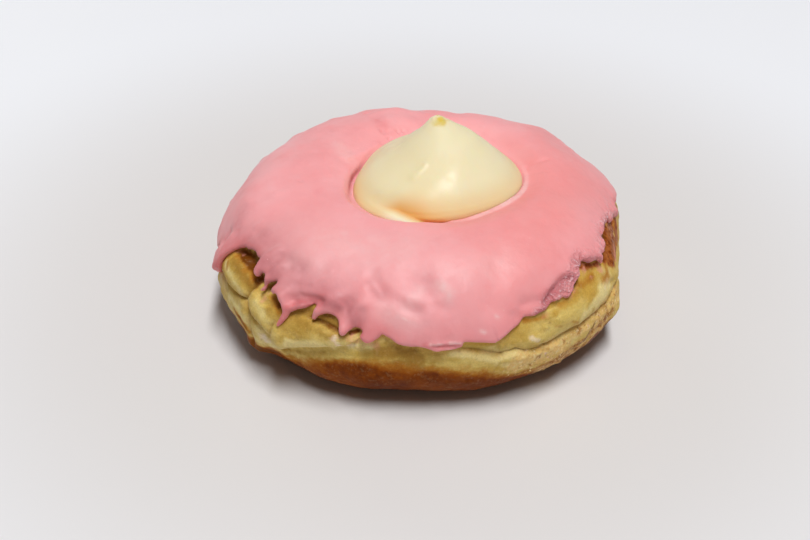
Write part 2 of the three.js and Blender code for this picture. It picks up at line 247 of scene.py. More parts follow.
# lobes: angle, height, how far out, half-width round, half-width up
LOBES = [
    (-153, 23.5, 0.9, 5.0, 3.2), (-136.5, 20.8, 0.7, 2.6, 3.6), (-119, 20.5, 0.7, 8.0, 2.6), (-156, 13.0, 0.5, 7.0, 3.6), (-137, 13.4, 0.35, 2.4, 2.8),
    (-45, 22.0, 0.6, 12.0, 3.2), (-52, 12.6, 0.35, 13.0, 3.2), (-26, 13.2, 0.55, 9.0, 3.6), (-62, 14.6, 0.6, 4.0, 1.9),
    (-2, 11.0, -1.5, 17.0, 9.0), (-4, 26.0, 0.5, 14.0, 4.5), (-95, 10.0, 0.3, 10.0, 3.5), (-100, 18.5, -0.35, 5.0, 2.0),
]


def dough_form(deg, s):
    """How far out the dough's skin stands (mm), and how far it slides over its creases (mm round, mm up)."""
    z = height_of_s(s)
    x = np.radians(deg) * UNROLL
    out, sx, ss, pit = np.zeros(s.shape), np.zeros(s.shape), np.zeros(s.shape), np.zeros(s.shape)
    rim = np.zeros(s.shape)
    for c in CREASES:
        d, nx, ny, along, total = line_field(deg, s, c["line"])
        fade = smooth(0, c["ends"][0], along) * smooth(0, c["ends"][1], total - along)
        far = np.abs(d)
        out -= fade * c["deep"] * np.exp(-((far / c["wide"]) ** 1.2))
        pit += fade * c["deep"] * np.exp(-((far / (c["wide"] * 1.5)) ** 1.3))
        for sign, (amount, off) in ((1, c["over"]), (-1, c["under"])):
            u = np.clip(sign * d, 0, None) / off
            out += fade * amount * u * np.exp(1 - u)
        out += fade * 0.5 * c["step"] * np.sign(d) * (1 - np.exp(-far / 0.45)) * bump(d, 5.0)
        slide = fade * c["hang"] * np.where(d > 0, bump(d, 1.3) * (1 - np.exp(-far / 0.3)), 0)
        rim += fade * max(0.0, c["hang"]) * np.where(d > 0, bump(d - 0.9, 1.0), 0)
        sx -= slide * nx
        ss -= slide * ny
    for a, h, amount, wx, ws in LOBES:
        dx = np.radians(wrap(deg - a)) * UNROLL
        out += amount * bump(dx, wx) * bump(s - s_of_height(h), ws)
    side = smooth(S_FLAT + 3, S_FLAT + 12, s) * (1 - smooth(S_CROWN - 10, S_CROWN, s))
    return out * side, sx * side, ss * side, np.clip(pit * side, 0, 2), np.clip(rim, 0, 1) * side


# (angle, place on the profile, mm): where the bun is fuller or flatter than its plain form
SWELL = [
    (-178.5, 69.1, -1.47), (-174.5, 65.9, -1.16), (-171.0, 65.1, -1.68), (-166.5, 59.1, -0.36), (-166.5, 65.1, -2.29), (-162.0, 58.3, -0.67), (-156.5, 57.1, -1.08), (-150.5, 55.5, -1.09),
    (-144.5, 55.1, -1.02), (-141.5, 53.5, 0.4), (-139.0, 52.7, 0.1), (-136.0, 51.5, -1.15), (-133.5, 50.3, -1.89), (-128.0, 51.1, -1.62), (-122.5, 50.3, -1.02), (-116.0, 50.3, -0.42),
    (-111.0, 49.9, -0.06), (-106.0, 49.5, 0.04), (-99.5, 49.1, -0.59), (-92.5, 48.7, -0.9), (-86.5, 48.7, -0.61), (-80.5, 49.1, -0.02), (-73.5, 49.1, 0.24), (-68.5, 49.9, 0.33),
    (-62.0, 50.3, -0.11), (-56.5, 50.3, 0.05), (-52.0, 50.7, 0.35), (-46.5, 50.7, 0.32), (-42.0, 52.3, -0.0), (-36.5, 51.9, -0.12), (-32.5, 53.5, 0.05), (-28.5, 54.7, -0.08),
    (-25.5, 56.7, 0.35), (-23.5, 57.5, 0.77), (-20.0, 59.9, -0.21), (-14.5, 62.3, -1.49), (-7.0, 66.7, -1.78), (2.5, 66.3, -0.97), (8.5, 67.9, 0.1), (10.0, 70.7, 0.5),
    (15.0, 74.7, 0.04), (19.5, 75.5, -0.63), (27.0, 77.1, -1.54), (33.0, 77.9, -1.52), (39.0, 78.7, -0.67), (44.5, 79.9, 0.51), (49.5, 81.5, -0.03), (55.0, 83.1, -0.53),
    (60.0, 83.5, -0.23), (66.0, 84.3, -0.17), (71.0, 83.9, -0.38), (76.5, 85.5, -1.09), (84.0, 85.1, -0.74), (87.0, 85.1, -0.63), (94.5, 84.7, -1.29), (99.5, 83.9, -0.56),
    (102.5, 83.9, -0.02), (109.0, 83.1, -0.07), (113.0, 80.3, -0.16), (118.0, 80.7, -0.84), (123.5, 80.3, -0.53), (129.5, 80.3, -0.16), (135.5, 80.3, -0.03), (140.0, 77.9, -0.08),
    (147.5, 78.3, -0.63), (153.0, 77.1, -0.77), (158.0, 75.1, -0.59), (163.5, 73.5, -1.9), (171.0, 73.1, -1.98), (177.5, 71.5, -1.67),
]


def swell(deg, s):
    """How far the bun stands out of its plain form: a smooth blend of the amounts in SWELL."""
    top, total = np.zeros(np.shape(s)), np.full(np.shape(s), 0.25)
    for a, place, amount in SWELL:
        w = np.exp(-((np.radians(wrap(deg - a)) * UNROLL / 5.0) ** 2) - ((s - place) / 7.0) ** 2)
        top += w * amount
        total += w
    return top / total


# Small bulges and dents of the outline: (angle, height, mm, half-width in mm).
DENTS = [
    (28.5, 27.9, -1.3, 2.6), (35.1, 28.0, -0.6, 2.4), (22.2, 26.3, -0.3, 2.4), (45.7, 30.5, 0.4, 2.5), (55.9, 32.0, -0.45, 2.6), (76.6, 34.0, -0.55, 2.6), (95.2, 34.3, -0.8, 2.6), (118.0, 31.5, -0.4, 2.6),
    (140.7, 30.0, 0.55, 2.4), (136.0, 29.6, 0.3, 1.6), (125.5, 31.6, 0.35, 1.5), (152.6, 24.0, 0.3, 2.4), (163.1, 25.6, -0.55, 2.8), (170.3, 25.0, -0.65, 3.0), (173.0, 21.6, -0.6, 3.0), (-179.0, 21.7, -0.35, 2.4),
    (-166.9, 12.7, 0.7, 2.6), (-157.0, 10.9, -0.25, 2.4), (-150.1, 10.1, -0.35, 2.4), (-144.2, 9.8, -0.75, 2.2), (-141.3, 7.4, 0.8, 2.0), (-139.6, 6.0, 0.4, 1.8), (-136.0, 5.7, -0.4, 1.8), (-132.2, 6.4, -0.9, 2.4),
    (-127.0, 6.5, -0.3, 2.4), (-42.4, 7.2, -0.35, 2.4), (-24.4, 12.1, 0.65, 2.4), (-21.0, 15.0, -0.2, 1.8), (-14.9, 16.4, -0.75, 2.8), (3.0, 20.0, -0.4, 3.0),
]


def dough_lumps(deg, s, p):
    """Broad unevenness, shared by the dough and the coat on it."""
    z = height_of_s(s)
    side = smooth(S_FLAT + 1, S_FLAT + 10, s)
    a = np.radians(deg)
    waves = 0.3 * np.sin(3 * a + 0.7 + z * 0.11) + 0.2 * np.sin(7 * a - 1.0 - z * 0.17)
    bowl = smooth(S_CROWN, S_CROWN + 10, s)
    dents = np.zeros(np.shape(s))
    for at, height, amount, width in DENTS:
        dents = dents + amount * np.exp(-((np.radians(wrap(deg - at)) * UNROLL / width) ** 2) - ((s - s_of_height(height)) / (1.15 * width)) ** 2)
    return side * (0.7 * waves * (1 - bowl) + 0.35 * noise(p, 17, 5) * (1 - 0.6 * bowl) + swell(deg, s)) + dents


# ------------------------------------------------------------------------- folds, hollows and colour of the crust
# Short wrinkles of the dough: line [(angle, place on the profile)], how far out (mm), half-width (mm).
WRINKLES = [
    ([(-60.3, 63.5), (-56.5, 62.6), (-52.6, 62.1), (-48.9, 62.6), (-45.2, 62.9), (-41.3, 63.1)], -0.4, 0.55),
    ([(-79.0, 65.7), (-74.3, 65.0), (-69.9, 64.1), (-67.9, 63.6)], -0.45, 1.2),
    ([(-118.9, 69.8), (-115.4, 69.7), (-111.5, 68.4), (-109.0, 68.5)], -0.6, 1.9),
    ([(-126.8, 69.2), (-124.8, 70.2), (-122.2, 70.5)], -0.35, 1.5),
    ([(-94.8, 65.5), (-93.9, 62.3)], -0.7, 3.2),
    ([(-98.8, 67.4), (-95.6, 66.3), (-91.8, 65.9)], -0.5, 1.5),
    ([(-59.3, 65.3), (-59.0, 64.9)], 0.45, 1.5),
    ([(-55.6, 67.1), (-55.4, 66.9)], 0.4, 0.7),
    ([(-61.4, 64.7), (-56.6, 64.5)], 0.3, 1.6),
    ([(-37.9, 59.0), (-39.6, 57.6), (-39.9, 54.6)], -0.55, 0.7),
    ([(-45.6, 55.8), (-43.0, 55.4)], -0.4, 0.7),
    ([(-28.6, 68.1), (-25.8, 67.1)], -0.5, 0.9),
    ([(-50.2, 67.6), (-48.4, 66.5)], 0.3, 1.2),
    ([(-45.4, 65.4), (-43.2, 63.6)], 0.3, 0.8),
    ([(-75.4, 63.8), (-72.8, 62.5), (-69.7, 60.7)], 0.35, 1.6),
    ([(-66.6, 61.8), (-62.5, 61.7), (-58.4, 60.5)], 0.4, 1.6),
    ([(-120.6, 68.4), (-117.5, 68.0), (-113.5, 67.4)], 0.35, 1.0),
]
# Hollows of the dough under the icing's loose edge.
HOLLOWS = [
    ([(-153.0, 74.6), (-151.2, 75.6)], -1.1, 1.3),
    ([(-148.5, 76.2), (-145.8, 76.1), (-144.2, 75.7)], -1.3, 1.4),
    ([(-146.3, 74.4), (-144.0, 73.3), (-141.3, 72.6)], -0.7, 1.4),
    ([(-140.2, 73.9), (-138.9, 73.7)], -0.9, 1.2),
    ([(-136.4, 72.6), (-135.8, 73.6), (-134.8, 74.3)], -1.0, 1.2),
    ([(-133.2, 71.2), (-132.2, 70.8), (-131.2, 70.0)], -0.6, 1.0),
    ([(-42.8, 73.8), (-44.2, 73.0)], -0.6, 0.8),
    ([(-17.9, 76.9), (-22.3, 75.7), (-26.4, 74.5)], -0.4, 1.2),
    ([(-121.2, 69.9), (-118.8, 69.6), (-116.3, 69.2), (-113.2, 68.6)], -0.6, 0.6),
]
# The browned crust's upper limit: (angle, place on the profile, half of its blur in mm), front then back.
BROWN_LINE = [
    (-165.0, 57.2, 0.4), (-159.0, 57.0, 0.3), (-154.7, 57.2, 0.25), (-150.6, 57.4, 0.25), (-144.5, 57.6, 0.3), (-136.9, 55.0, 0.15), (-133.9, 56.4, 0.15), (-131.3, 56.5, 0.23),
    (-129.1, 55.9, 0.45), (-126.2, 56.3, 0.6), (-122.6, 57.6, 0.6), (-117.8, 59.2, 0.3), (-113.5, 60.2, 0.18), (-109.4, 60.9, 0.18), (-105.3, 61.3, 0.21),
    (-102.6, 61.7, 0.32), (-99.9, 61.6, 0.45), (-97.3, 61.1, 0.55), (-93.3, 60.5, 0.55), (-90.6, 60.4, 0.4), (-87.9, 60.5, 0.21), (-85.8, 60.1, 0.21),
    (-84.4, 59.5, 0.36), (-81.1, 59.0, 0.45), (-77.0, 58.6, 0.5), (-72.8, 58.2, 0.55), (-68.2, 56.5, 0.4), (-62.7, 54.3, 0.3), (-58.4, 53.2, 0.3),
    (-54.9, 53.9, 0.21), (-49.8, 55.3, 0.19), (-45.8, 55.7, 0.19), (-39.7, 55.6, 0.19), (-35.1, 57.3, 0.19), (-31.1, 58.2, 0.19),
    (-22.0, 55.8, 0.5), (-8.0, 53.0, 0.8), (8.0, 54.0, 0.8), (25.0, 56.5, 0.7), (40.0, 55.0, 0.9), (58.0, 57.6, 0.6), (75.0, 56.0, 0.9),
    (92.0, 58.4, 0.7), (110.0, 55.4, 0.9), (126.0, 57.0, 0.6), (142.0, 54.6, 0.9), (158.0, 57.2, 0.8), (170.0, 57.6, 0.7), (186.0, 57.3, 0.6),
]
# Patches of the crust's colour: kind, line, half-width in mm, strength. The dull rows and some brown rows are painted
# shade under the icing's edge, with dull dough; the pale and white rows hold painted highlights on lit rolls.
PATCHES = [
    ('amber', [(-152.6, 73.8), (-150.1, 74.1), (-147.4, 73.8), (-144.4, 72.9), (-141.4, 71.5)], 2.0, 1.0),
    ('amber', [(-153.9, 70.7), (-152.8, 69.5)], 0.77, 0.7),
    ('brown', [(-151.4, 74.5), (-148.0, 74.5), (-144.0, 73.6), (-140.5, 72.4)], 1.5, 0.95),
    ('gold', [(-146.4, 72.1), (-143.0, 71.6), (-140.2, 71.5)], 1.54, 0.8),
    ('gold', [(-139.1, 72.6), (-140.3, 71.2)], 1.03, 0.6),
    ('dull_and_shade', [(-151.5, 72.0), (-147.0, 71.2), (-143.8, 70.2)], 2.2, 0.8), ('dull_and_shade', [(-133.0, 67.4), (-127.0, 66.2), (-121.0, 65.9)], 2.0, 0.4), ('pale', [(-155.1, 70.0), (-150.8, 69.2), (-146.8, 68.2), (-143.8, 67.3)], 1.4, 0.65),
    ('amber', [(-134.1, 70.9), (-132.0, 69.9), (-130.3, 68.6)], 1.03, 0.7),
    ('gold', [(-135.4, 69.6), (-133.0, 68.6), (-130.4, 67.1)], 1.54, 0.5),
    ('pale', [(-137.8, 68.7), (-134.6, 67.1), (-131.8, 64.9)], 1.28, 0.5),
    ('amber', [(-148.8, 60.2), (-143.7, 60.2), (-141.4, 57.7)], 0.77, 0.9),
    ('amber', [(-140.1, 59.5)], 0.77, 0.8),
    ('pale', [(-146.4, 62.9), (-142.2, 61.5), (-141.4, 59.3)], 1.03, 0.3),
    ('brown', [(-138.4, 53.3), (-136.4, 52.4), (-132.3, 54.4)], 1.28, 1.0),
    ('gold', [(-127.0, 66.3), (-122.6, 66.5), (-118.2, 67.1)], 1.6, 0.45),
    ('pale', [(-125.6, 63.1), (-122.5, 63.4), (-116.9, 65.0), (-113.8, 64.1)], 0.9, 1.0),
    ('gold', [(-129.3, 57.5), (-124.2, 58.9), (-118.0, 60.7)], 1.03, 0.7),
    ('amber', [(-129.7, 55.1), (-126.5, 55.7)], 1.03, 0.7),
    ('brown', [(-118.0, 71.4), (-115.0, 71.2)], 0.6, 0.5),
    ('gold', [(-119.6, 68.8), (-116.2, 68.8), (-112.6, 68.2), (-110.2, 67.5)], 1.28, 0.6),
    ('brown', [(-109.4, 68.6), (-107.7, 69.2)], 0.6, 0.9),
    ('pale', [(-111.7, 65.9), (-109.2, 65.1), (-106.4, 65.0)], 1.03, 0.7),
    ('olive', [(-110.9, 62.4), (-106.2, 63.2), (-101.9, 63.9)], 1.03, 0.6),
    ('gold', [(-112.2, 60.9), (-106.7, 61.7), (-101.9, 62.3)], 0.51, 0.8),
    ('olive', [(-85.3, 63.3), (-81.2, 61.9), (-77.7, 61.1)], 1.03, 0.4),
    ('pale', [(-82.1, 64.1), (-79.4, 64.0), (-75.0, 62.8), (-70.2, 61.3)], 1.03, 0.8),
    ('pale', [(-68.8, 61.8), (-64.5, 62.2), (-60.2, 61.0), (-57.2, 59.8)], 0.9, 1.0),
    ('gold', [(-78.8, 66.7), (-74.4, 66.2), (-70.6, 65.6)], 0.6, 0.8),
    ('amber', [(-74.2, 64.5), (-70.8, 63.5), (-68.5, 62.3)], 0.77, 0.35),
    ('gold', [(-77.1, 59.9), (-73.0, 59.2), (-67.2, 58.0)], 1.03, 0.9),
    ('gold', [(-69.2, 65.8), (-65.6, 66.1), (-63.3, 66.9)], 1.54, 0.5),
    ('olive', [(-68.5, 62.8), (-67.1, 63.3), (-62.5, 62.3)], 0.51, 0.6),
    ('amber', [(-61.4, 70.1), (-58.0, 69.4), (-55.5, 69.7)], 0.77, 0.7),
    ('pale', [(-55.2, 61.4), (-50.7, 60.7), (-45.5, 60.5), (-41.2, 61.5)], 0.77, 0.7),
    ('gold', [(-53.5, 71.6), (-50.9, 71.4), (-47.8, 71.0)], 1.03, 1.0),
    ('gold', [(-52.4, 67.5), (-49.4, 66.1), (-45.1, 65.6)], 1.79, 0.6),
    ('amber', [(-52.5, 66.5), (-50.6, 65.9)], 0.51, 0.5),
    ('amber', [(-47.3, 66.1), (-44.9, 64.8)], 0.51, 0.5),
    ('gold', [(-45.2, 71.6), (-42.4, 71.2), (-39.5, 70.6)], 1.54, 0.9),
    ('amber', [(-41.5, 73.4), (-39.5, 72.6), (-35.7, 72.7)], 1.28, 0.7),
    ('gold', [(-41.7, 68.4), (-40.6, 66.1)], 1.03, 0.4),
    ('amber', [(-28.4, 73.7), (-28.2, 71.9)], 1.03, 0.8),
    ('brown', [(5.8, 71.5), (1.4, 72.4)], 1.03, 0.7),
    ('gold', [(-25.8, 67.3)], 0.77, 0.5),
    ('amber', [(-36.6, 62.7), (-32.8, 62.5)], 1.03, 0.35),
    ('amber', [(-39.8, 59.3), (-40.1, 56.8), (-40.0, 54.2)], 0.77, 0.9),
    ('amber', [(-36.4, 58.5), (-38.6, 62.0)], 0.51, 0.5),
    ('amber', [(-58.3, 58.6)], 1.28, 0.45),
    ('pinkspeck', [(-55.2, 60.1), (-52.6, 57.5), (-53.7, 56.0), (-55.9, 55.3)], 1.79, 1.0),
    ('pinkspeck', [(-39.5, 61.9), (-35.4, 58.6), (-35.0, 61.4)], 2.05, 0.8),
    ('amber', [(-56.9, 61.0), (-54.6, 60.9)], 0.51, 0.5),
    ('amber', [(-44.5, 56.0), (-41.2, 54.6)], 0.64, 0.9),
    ('pale', [(-51.9, 58.9), (-48.6, 59.1), (-45.0, 59.1)], 0.9, 0.5),
    ('rust', [(-7.5, 75.1), (-10.6, 74.1), (-15.6, 73.6), (-20.7, 73.3), (-23.8, 72.5)], 2.6, 1.0),
    ('rust', [(-13.6, 77.3), (-18.7, 76.7), (-23.5, 75.4), (-27.1, 73.7)], 1.6, 1.0),
    ('rust', [(-2.8, 71.9), (-6.0, 70.5), (-13.6, 71.5)], 1.6, 0.8),
    ('amber', [(-27.5, 72.5), (-28.3, 70.8), (-31.0, 70.6)], 1.8, 0.7),
    ('film', [(-36.6, 75.8), (-35.3, 74.1), (-33.8, 72.4), (-31.1, 72.8)], 1.8, 0.75),
    ('film', [(-16.8, 72.7), (-19.6, 70.9), (-23.0, 69.7)], 1.0, 0.8),
    ('film', [(-10.2, 74.6), (-14.3, 74.2)], 0.5, 0.8),
    ('film', [(-43.7, 72.6), (-45.9, 71.6)], 1.0, 0.5),
    ('film', [(-59.6, 70.2), (-57.4, 69.5), (-55.2, 69.7)], 1.4, 0.7),
    ('pale', [(-29.0, 70.3), (-30.9, 69.0), (-33.1, 68.0)], 2.4, 1.0),
    ('white_smear_and_glint', [(-30.0, 69.6), (-31.9, 68.6)], 0.9, 0.45),
    ('brown', [(-41.8, 72.8), (-41.2, 74.2)], 0.5, 0.4),
    ('amber', [(-61.5, 54.9), (-54.8, 55.0), (-48.5, 56.2), (-42.8, 58.0), (-34.9, 59.3), (-28.6, 60.3)], 1.3, 0.85), ('brown', [(-37.5, 61.3), (-40.5, 59.3), (-41.5, 57.0), (-45.0, 56.4)], 0.7, 0.6),
    ('amber', [(-46.0, 55.6), (-49.0, 55.2), (-53.0, 54.9)], 0.8, 0.8), ('brown', [(-60.5, 54.6), (-64.0, 54.8)], 0.7, 0.4), ('amber', [(-88.5, 60.7), (-82.5, 60.1), (-77.0, 60.1)], 1.1, 0.45),
    ('pale', [(-33.7, 68.1), (-36.8, 66.9), (-40.5, 66.4), (-43.3, 65.3)], 1.5, 0.9),
    ('pale', [(-46.1, 65.4), (-49.1, 64.6), (-51.8, 63.8)], 1.2, 0.6),
    ('white_smear_and_glint', [(-60.7, 65.6), (-58.9, 66.1), (-58.4, 64.7)], 0.9, 0.7),
    ('pale', [(-62.9, 62.0), (-66.8, 62.5), (-70.4, 63.9), (-72.8, 63.5)], 1.6, 0.8),
    ('white_smear_and_glint', [(-135.4, 59.2), (-134.6, 58.3)], 1.4, 0.95),
    ('pale', [(-136.4, 60.6), (-135.2, 58.2), (-133.2, 57.6)], 2.0, 1.0),
    ('film', [(-134.4, 60.4), (-133.4, 61.0)], 0.7, 0.9),
    ('white_smear_and_glint', [(-113.2, 66.6), (-111.9, 65.4)], 1.1, 0.9),
    ('film', [(-113.5, 66.7), (-112.0, 64.9), (-109.7, 65.4)], 1.0, 0.6),
    ('film', [(-109.2, 67.6), (-107.6, 66.2), (-105.3, 65.9), (-102.6, 66.3)], 1.5, 0.6),
    ('white_smear_and_glint', [(-141.9, 53.8), (-141.7, 53.3)], 0.3, 1.0),
    ('film', [(-136.2, 69.1), (-135.6, 70.1)], 0.8, 0.7),
    ('film', [(-135.6, 71.6), (-134.1, 70.9)], 0.6, 0.7),
    ('film', [(-154.0, 73.6), (-151.7, 74.1)], 0.8, 0.8),
    ('film', [(-129.5, 65.4), (-128.9, 67.1)], 0.7, 0.5),
    ('dull_and_shade', [(-118.0, 70.5), (-114.8, 69.8), (-111.2, 69.1)], 1.6, 0.9),
    ('dull_and_shade', [(-128.0, 69.8), (-124.8, 70.8), (-121.1, 70.7)], 1.2, 0.8),
    ('dull_and_shade', [(-101.0, 64.4), (-96.0, 64.4), (-91.5, 63.4)], 2.6, 0.75), ('dull_and_shade', [(-106.0, 64.4), (-101.0, 64.4)], 3.0, 0.38), ('dull_and_shade', [(-92.0, 63.2), (-86.0, 62.9)], 3.0, 0.38),
    ('dull_and_shade', [(-97.0, 61.6), (-90.6, 61.1)], 2.0, 0.65),
    ('gold', [(-122.8, 66.7), (-118.0, 66.5), (-114.4, 67.2)], 1.3, 0.5),
    ('pale', [(-126.0, 62.4), (-122.4, 62.3), (-119.3, 63.4), (-114.0, 65.0)], 0.9, 1.0), ('dull_and_shade', [(-127.0, 58.6), (-124.2, 59.2), (-120.4, 60.2), (-116.8, 61.3)], 1.5, 0.42), ('dull_and_shade', [(-116.8, 61.3), (-112.6, 62.2)], 1.5, 0.22),
    ('crumb', [(-62.8, 58.8), (-58.4, 59.3), (-55.2, 60.1), (-50.7, 59.0)], 3.0, 1.0),
    ('crumb', [(-52.6, 52.0), (-48.5, 53.9), (-43.9, 55.6), (-38.9, 57.9), (-33.8, 59.5)], 3.4, 1.0),
    ('crumb', [(-36.8, 62.3), (-30.3, 62.9), (-25.5, 62.6)], 2.6, 1.0),
    ('crumb', [(-47.2, 61.7), (-41.9, 61.8), (-36.6, 62.7)], 2.0, 0.7),
    ('dull_and_shade', [(-124.0, 68.1), (-118.8, 67.7), (-114.4, 67.2)], 1.7, 0.55),
    ('pale', [(-152.0, 61.9), (-147.0, 61.8), (-142.3, 61.5)], 1.7, 0.75),
    ('gold', [(-51.7, 69.7), (-48.2, 70.2), (-43.6, 70.6)], 1.5, 1.0),
    ('amber', [(-49.9, 70.8), (-46.4, 71.6), (-43.4, 72.3)], 1.3, 0.5),
    ('pale', [(-56.6, 62.1), (-49.9, 62.6), (-43.2, 63.7), (-36.0, 64.3)], 1.4, 0.9),
    ('rust', [(-37.6, 76.5), (-34.5, 75.5), (-31.2, 74.4)], 0.9, 0.8),
    ('rust', [(-5.5, 74.4), (-13.0, 72.3), (-20.0, 71.5)], 1.5, 0.9),
    ('white_smear_and_glint', [(-112.7, 65.8), (-110.5, 65.0), (-107.4, 65.2)], 1.0, 0.6), ('pale', [(-113.6, 65.6), (-109.6, 65.0), (-104.7, 66.0)], 1.5, 0.8),
    ('pale', [(-150.3, 62.0), (-144.5, 62.1), (-142.0, 60.4), (-139.9, 58.1), (-137.4, 57.1)], 1.5, 0.85),
    ('pale', [(-66.8, 59.0), (-62.5, 59.4), (-56.5, 59.6), (-50.4, 60.6)], 1.7, 0.85),
    # the far side
    ('amber', [(20, 72.5), (34, 70.5), (48, 72.0)], 2.2, 0.7), ('brown', [(28, 68.0), (29, 65.0)], 1.4, 0.5), ('gold', [(60, 68.5), (72, 67.0), (84, 68.5)], 2.4, 0.8),
    ('pale', [(40, 64.0), (58, 62.6), (74, 63.4)], 1.8, 0.7), ('amber', [(94, 71.0), (104, 72.0), (114, 70.5)], 2.0, 0.8), ('pale', [(92, 63.6), (108, 64.8), (122, 63.4)], 1.6, 0.8),
    ('gold', [(124, 68.0), (136, 69.0), (148, 67.2)], 2.4, 0.8), ('amber', [(152, 70.6), (162, 70.0), (172, 69.0)], 2.2, 0.7), ('olive', [(140, 62.8), (154, 62.0), (166, 62.8)], 1.8, 0.5),
    ('dull_and_shade', [(16, 60.0), (26, 60.6)], 2.4, 0.6), ('dull_and_shade', [(80, 61.0), (92, 60.0)], 2.4, 0.5), ('pinkspeck', [(60, 57.5), (70, 58.5)], 2.2, 0.7), ('pinkspeck', [(146, 57.0), (156, 58.0)], 2.0, 0.7),
    ('film', [(52, 66.6), (55, 65.2)], 1.0, 0.7), ('film', [(118, 66.0), (121, 65.0)], 1.2, 0.6), ('white_smear_and_glint', [(88, 64.4), (90, 64.0)], 0.9, 0.8), ('pale', [(176, 63.0), (184, 63.6)], 1.6, 0.7),
    ('crumb', [(-8, 57.0), (8, 55.0), (24, 57.0)], 3.2, 0.8), ('crumb', [(60, 56.0), (76, 58.0)], 3.0, 0.6), ('crumb', [(120, 56.5), (140, 55.0)], 3.0, 0.7), ('rust', [(4, 73.5), (16, 72.0)], 1.8, 0.5), ('rust', [(60, 71.5), (70, 72.5)], 1.6, 0.4),
]


def near_line(points, line, reach):
    """Those of the points (n, 3) that lie within about `reach` of a line on the bun's form: their places and distances."""
    line = np.asarray(line, float)
    if len(line) == 1:
        line = np.vstack([line, line + [0.05, 0.05]])
    turn = wrap(line[:, 0] - line[0, 0]) + line[0, 0]
    run = np.r_[0, np.cumsum(np.hypot(np.radians(np.diff(turn)) * UNROLL, np.diff(line[:, 1])))]
    t = np.linspace(0, run[-1], max(2, int(run[-1] / 1.6) + 1))
    path = surface(np.radians(np.interp(t, run, turn)), np.interp(t, run, line[:, 1]))
    lo, hi = path.min(0) - reach, path.max(0) + reach
    idx = np.nonzero(((points >= lo) & (points <= hi)).all(-1))[0]
    q = points[idx]
    best = np.full(len(idx), 1e9)
    for a, b in zip(path, path[1:]):
        ab = b - a
        u = np.clip(((q - a) @ ab) / max(ab @ ab, 1e-9), 0, 1)
        best = np.minimum(best, np.linalg.norm(q - a - u[:, None] * ab, axis=-1))
    return idx, best


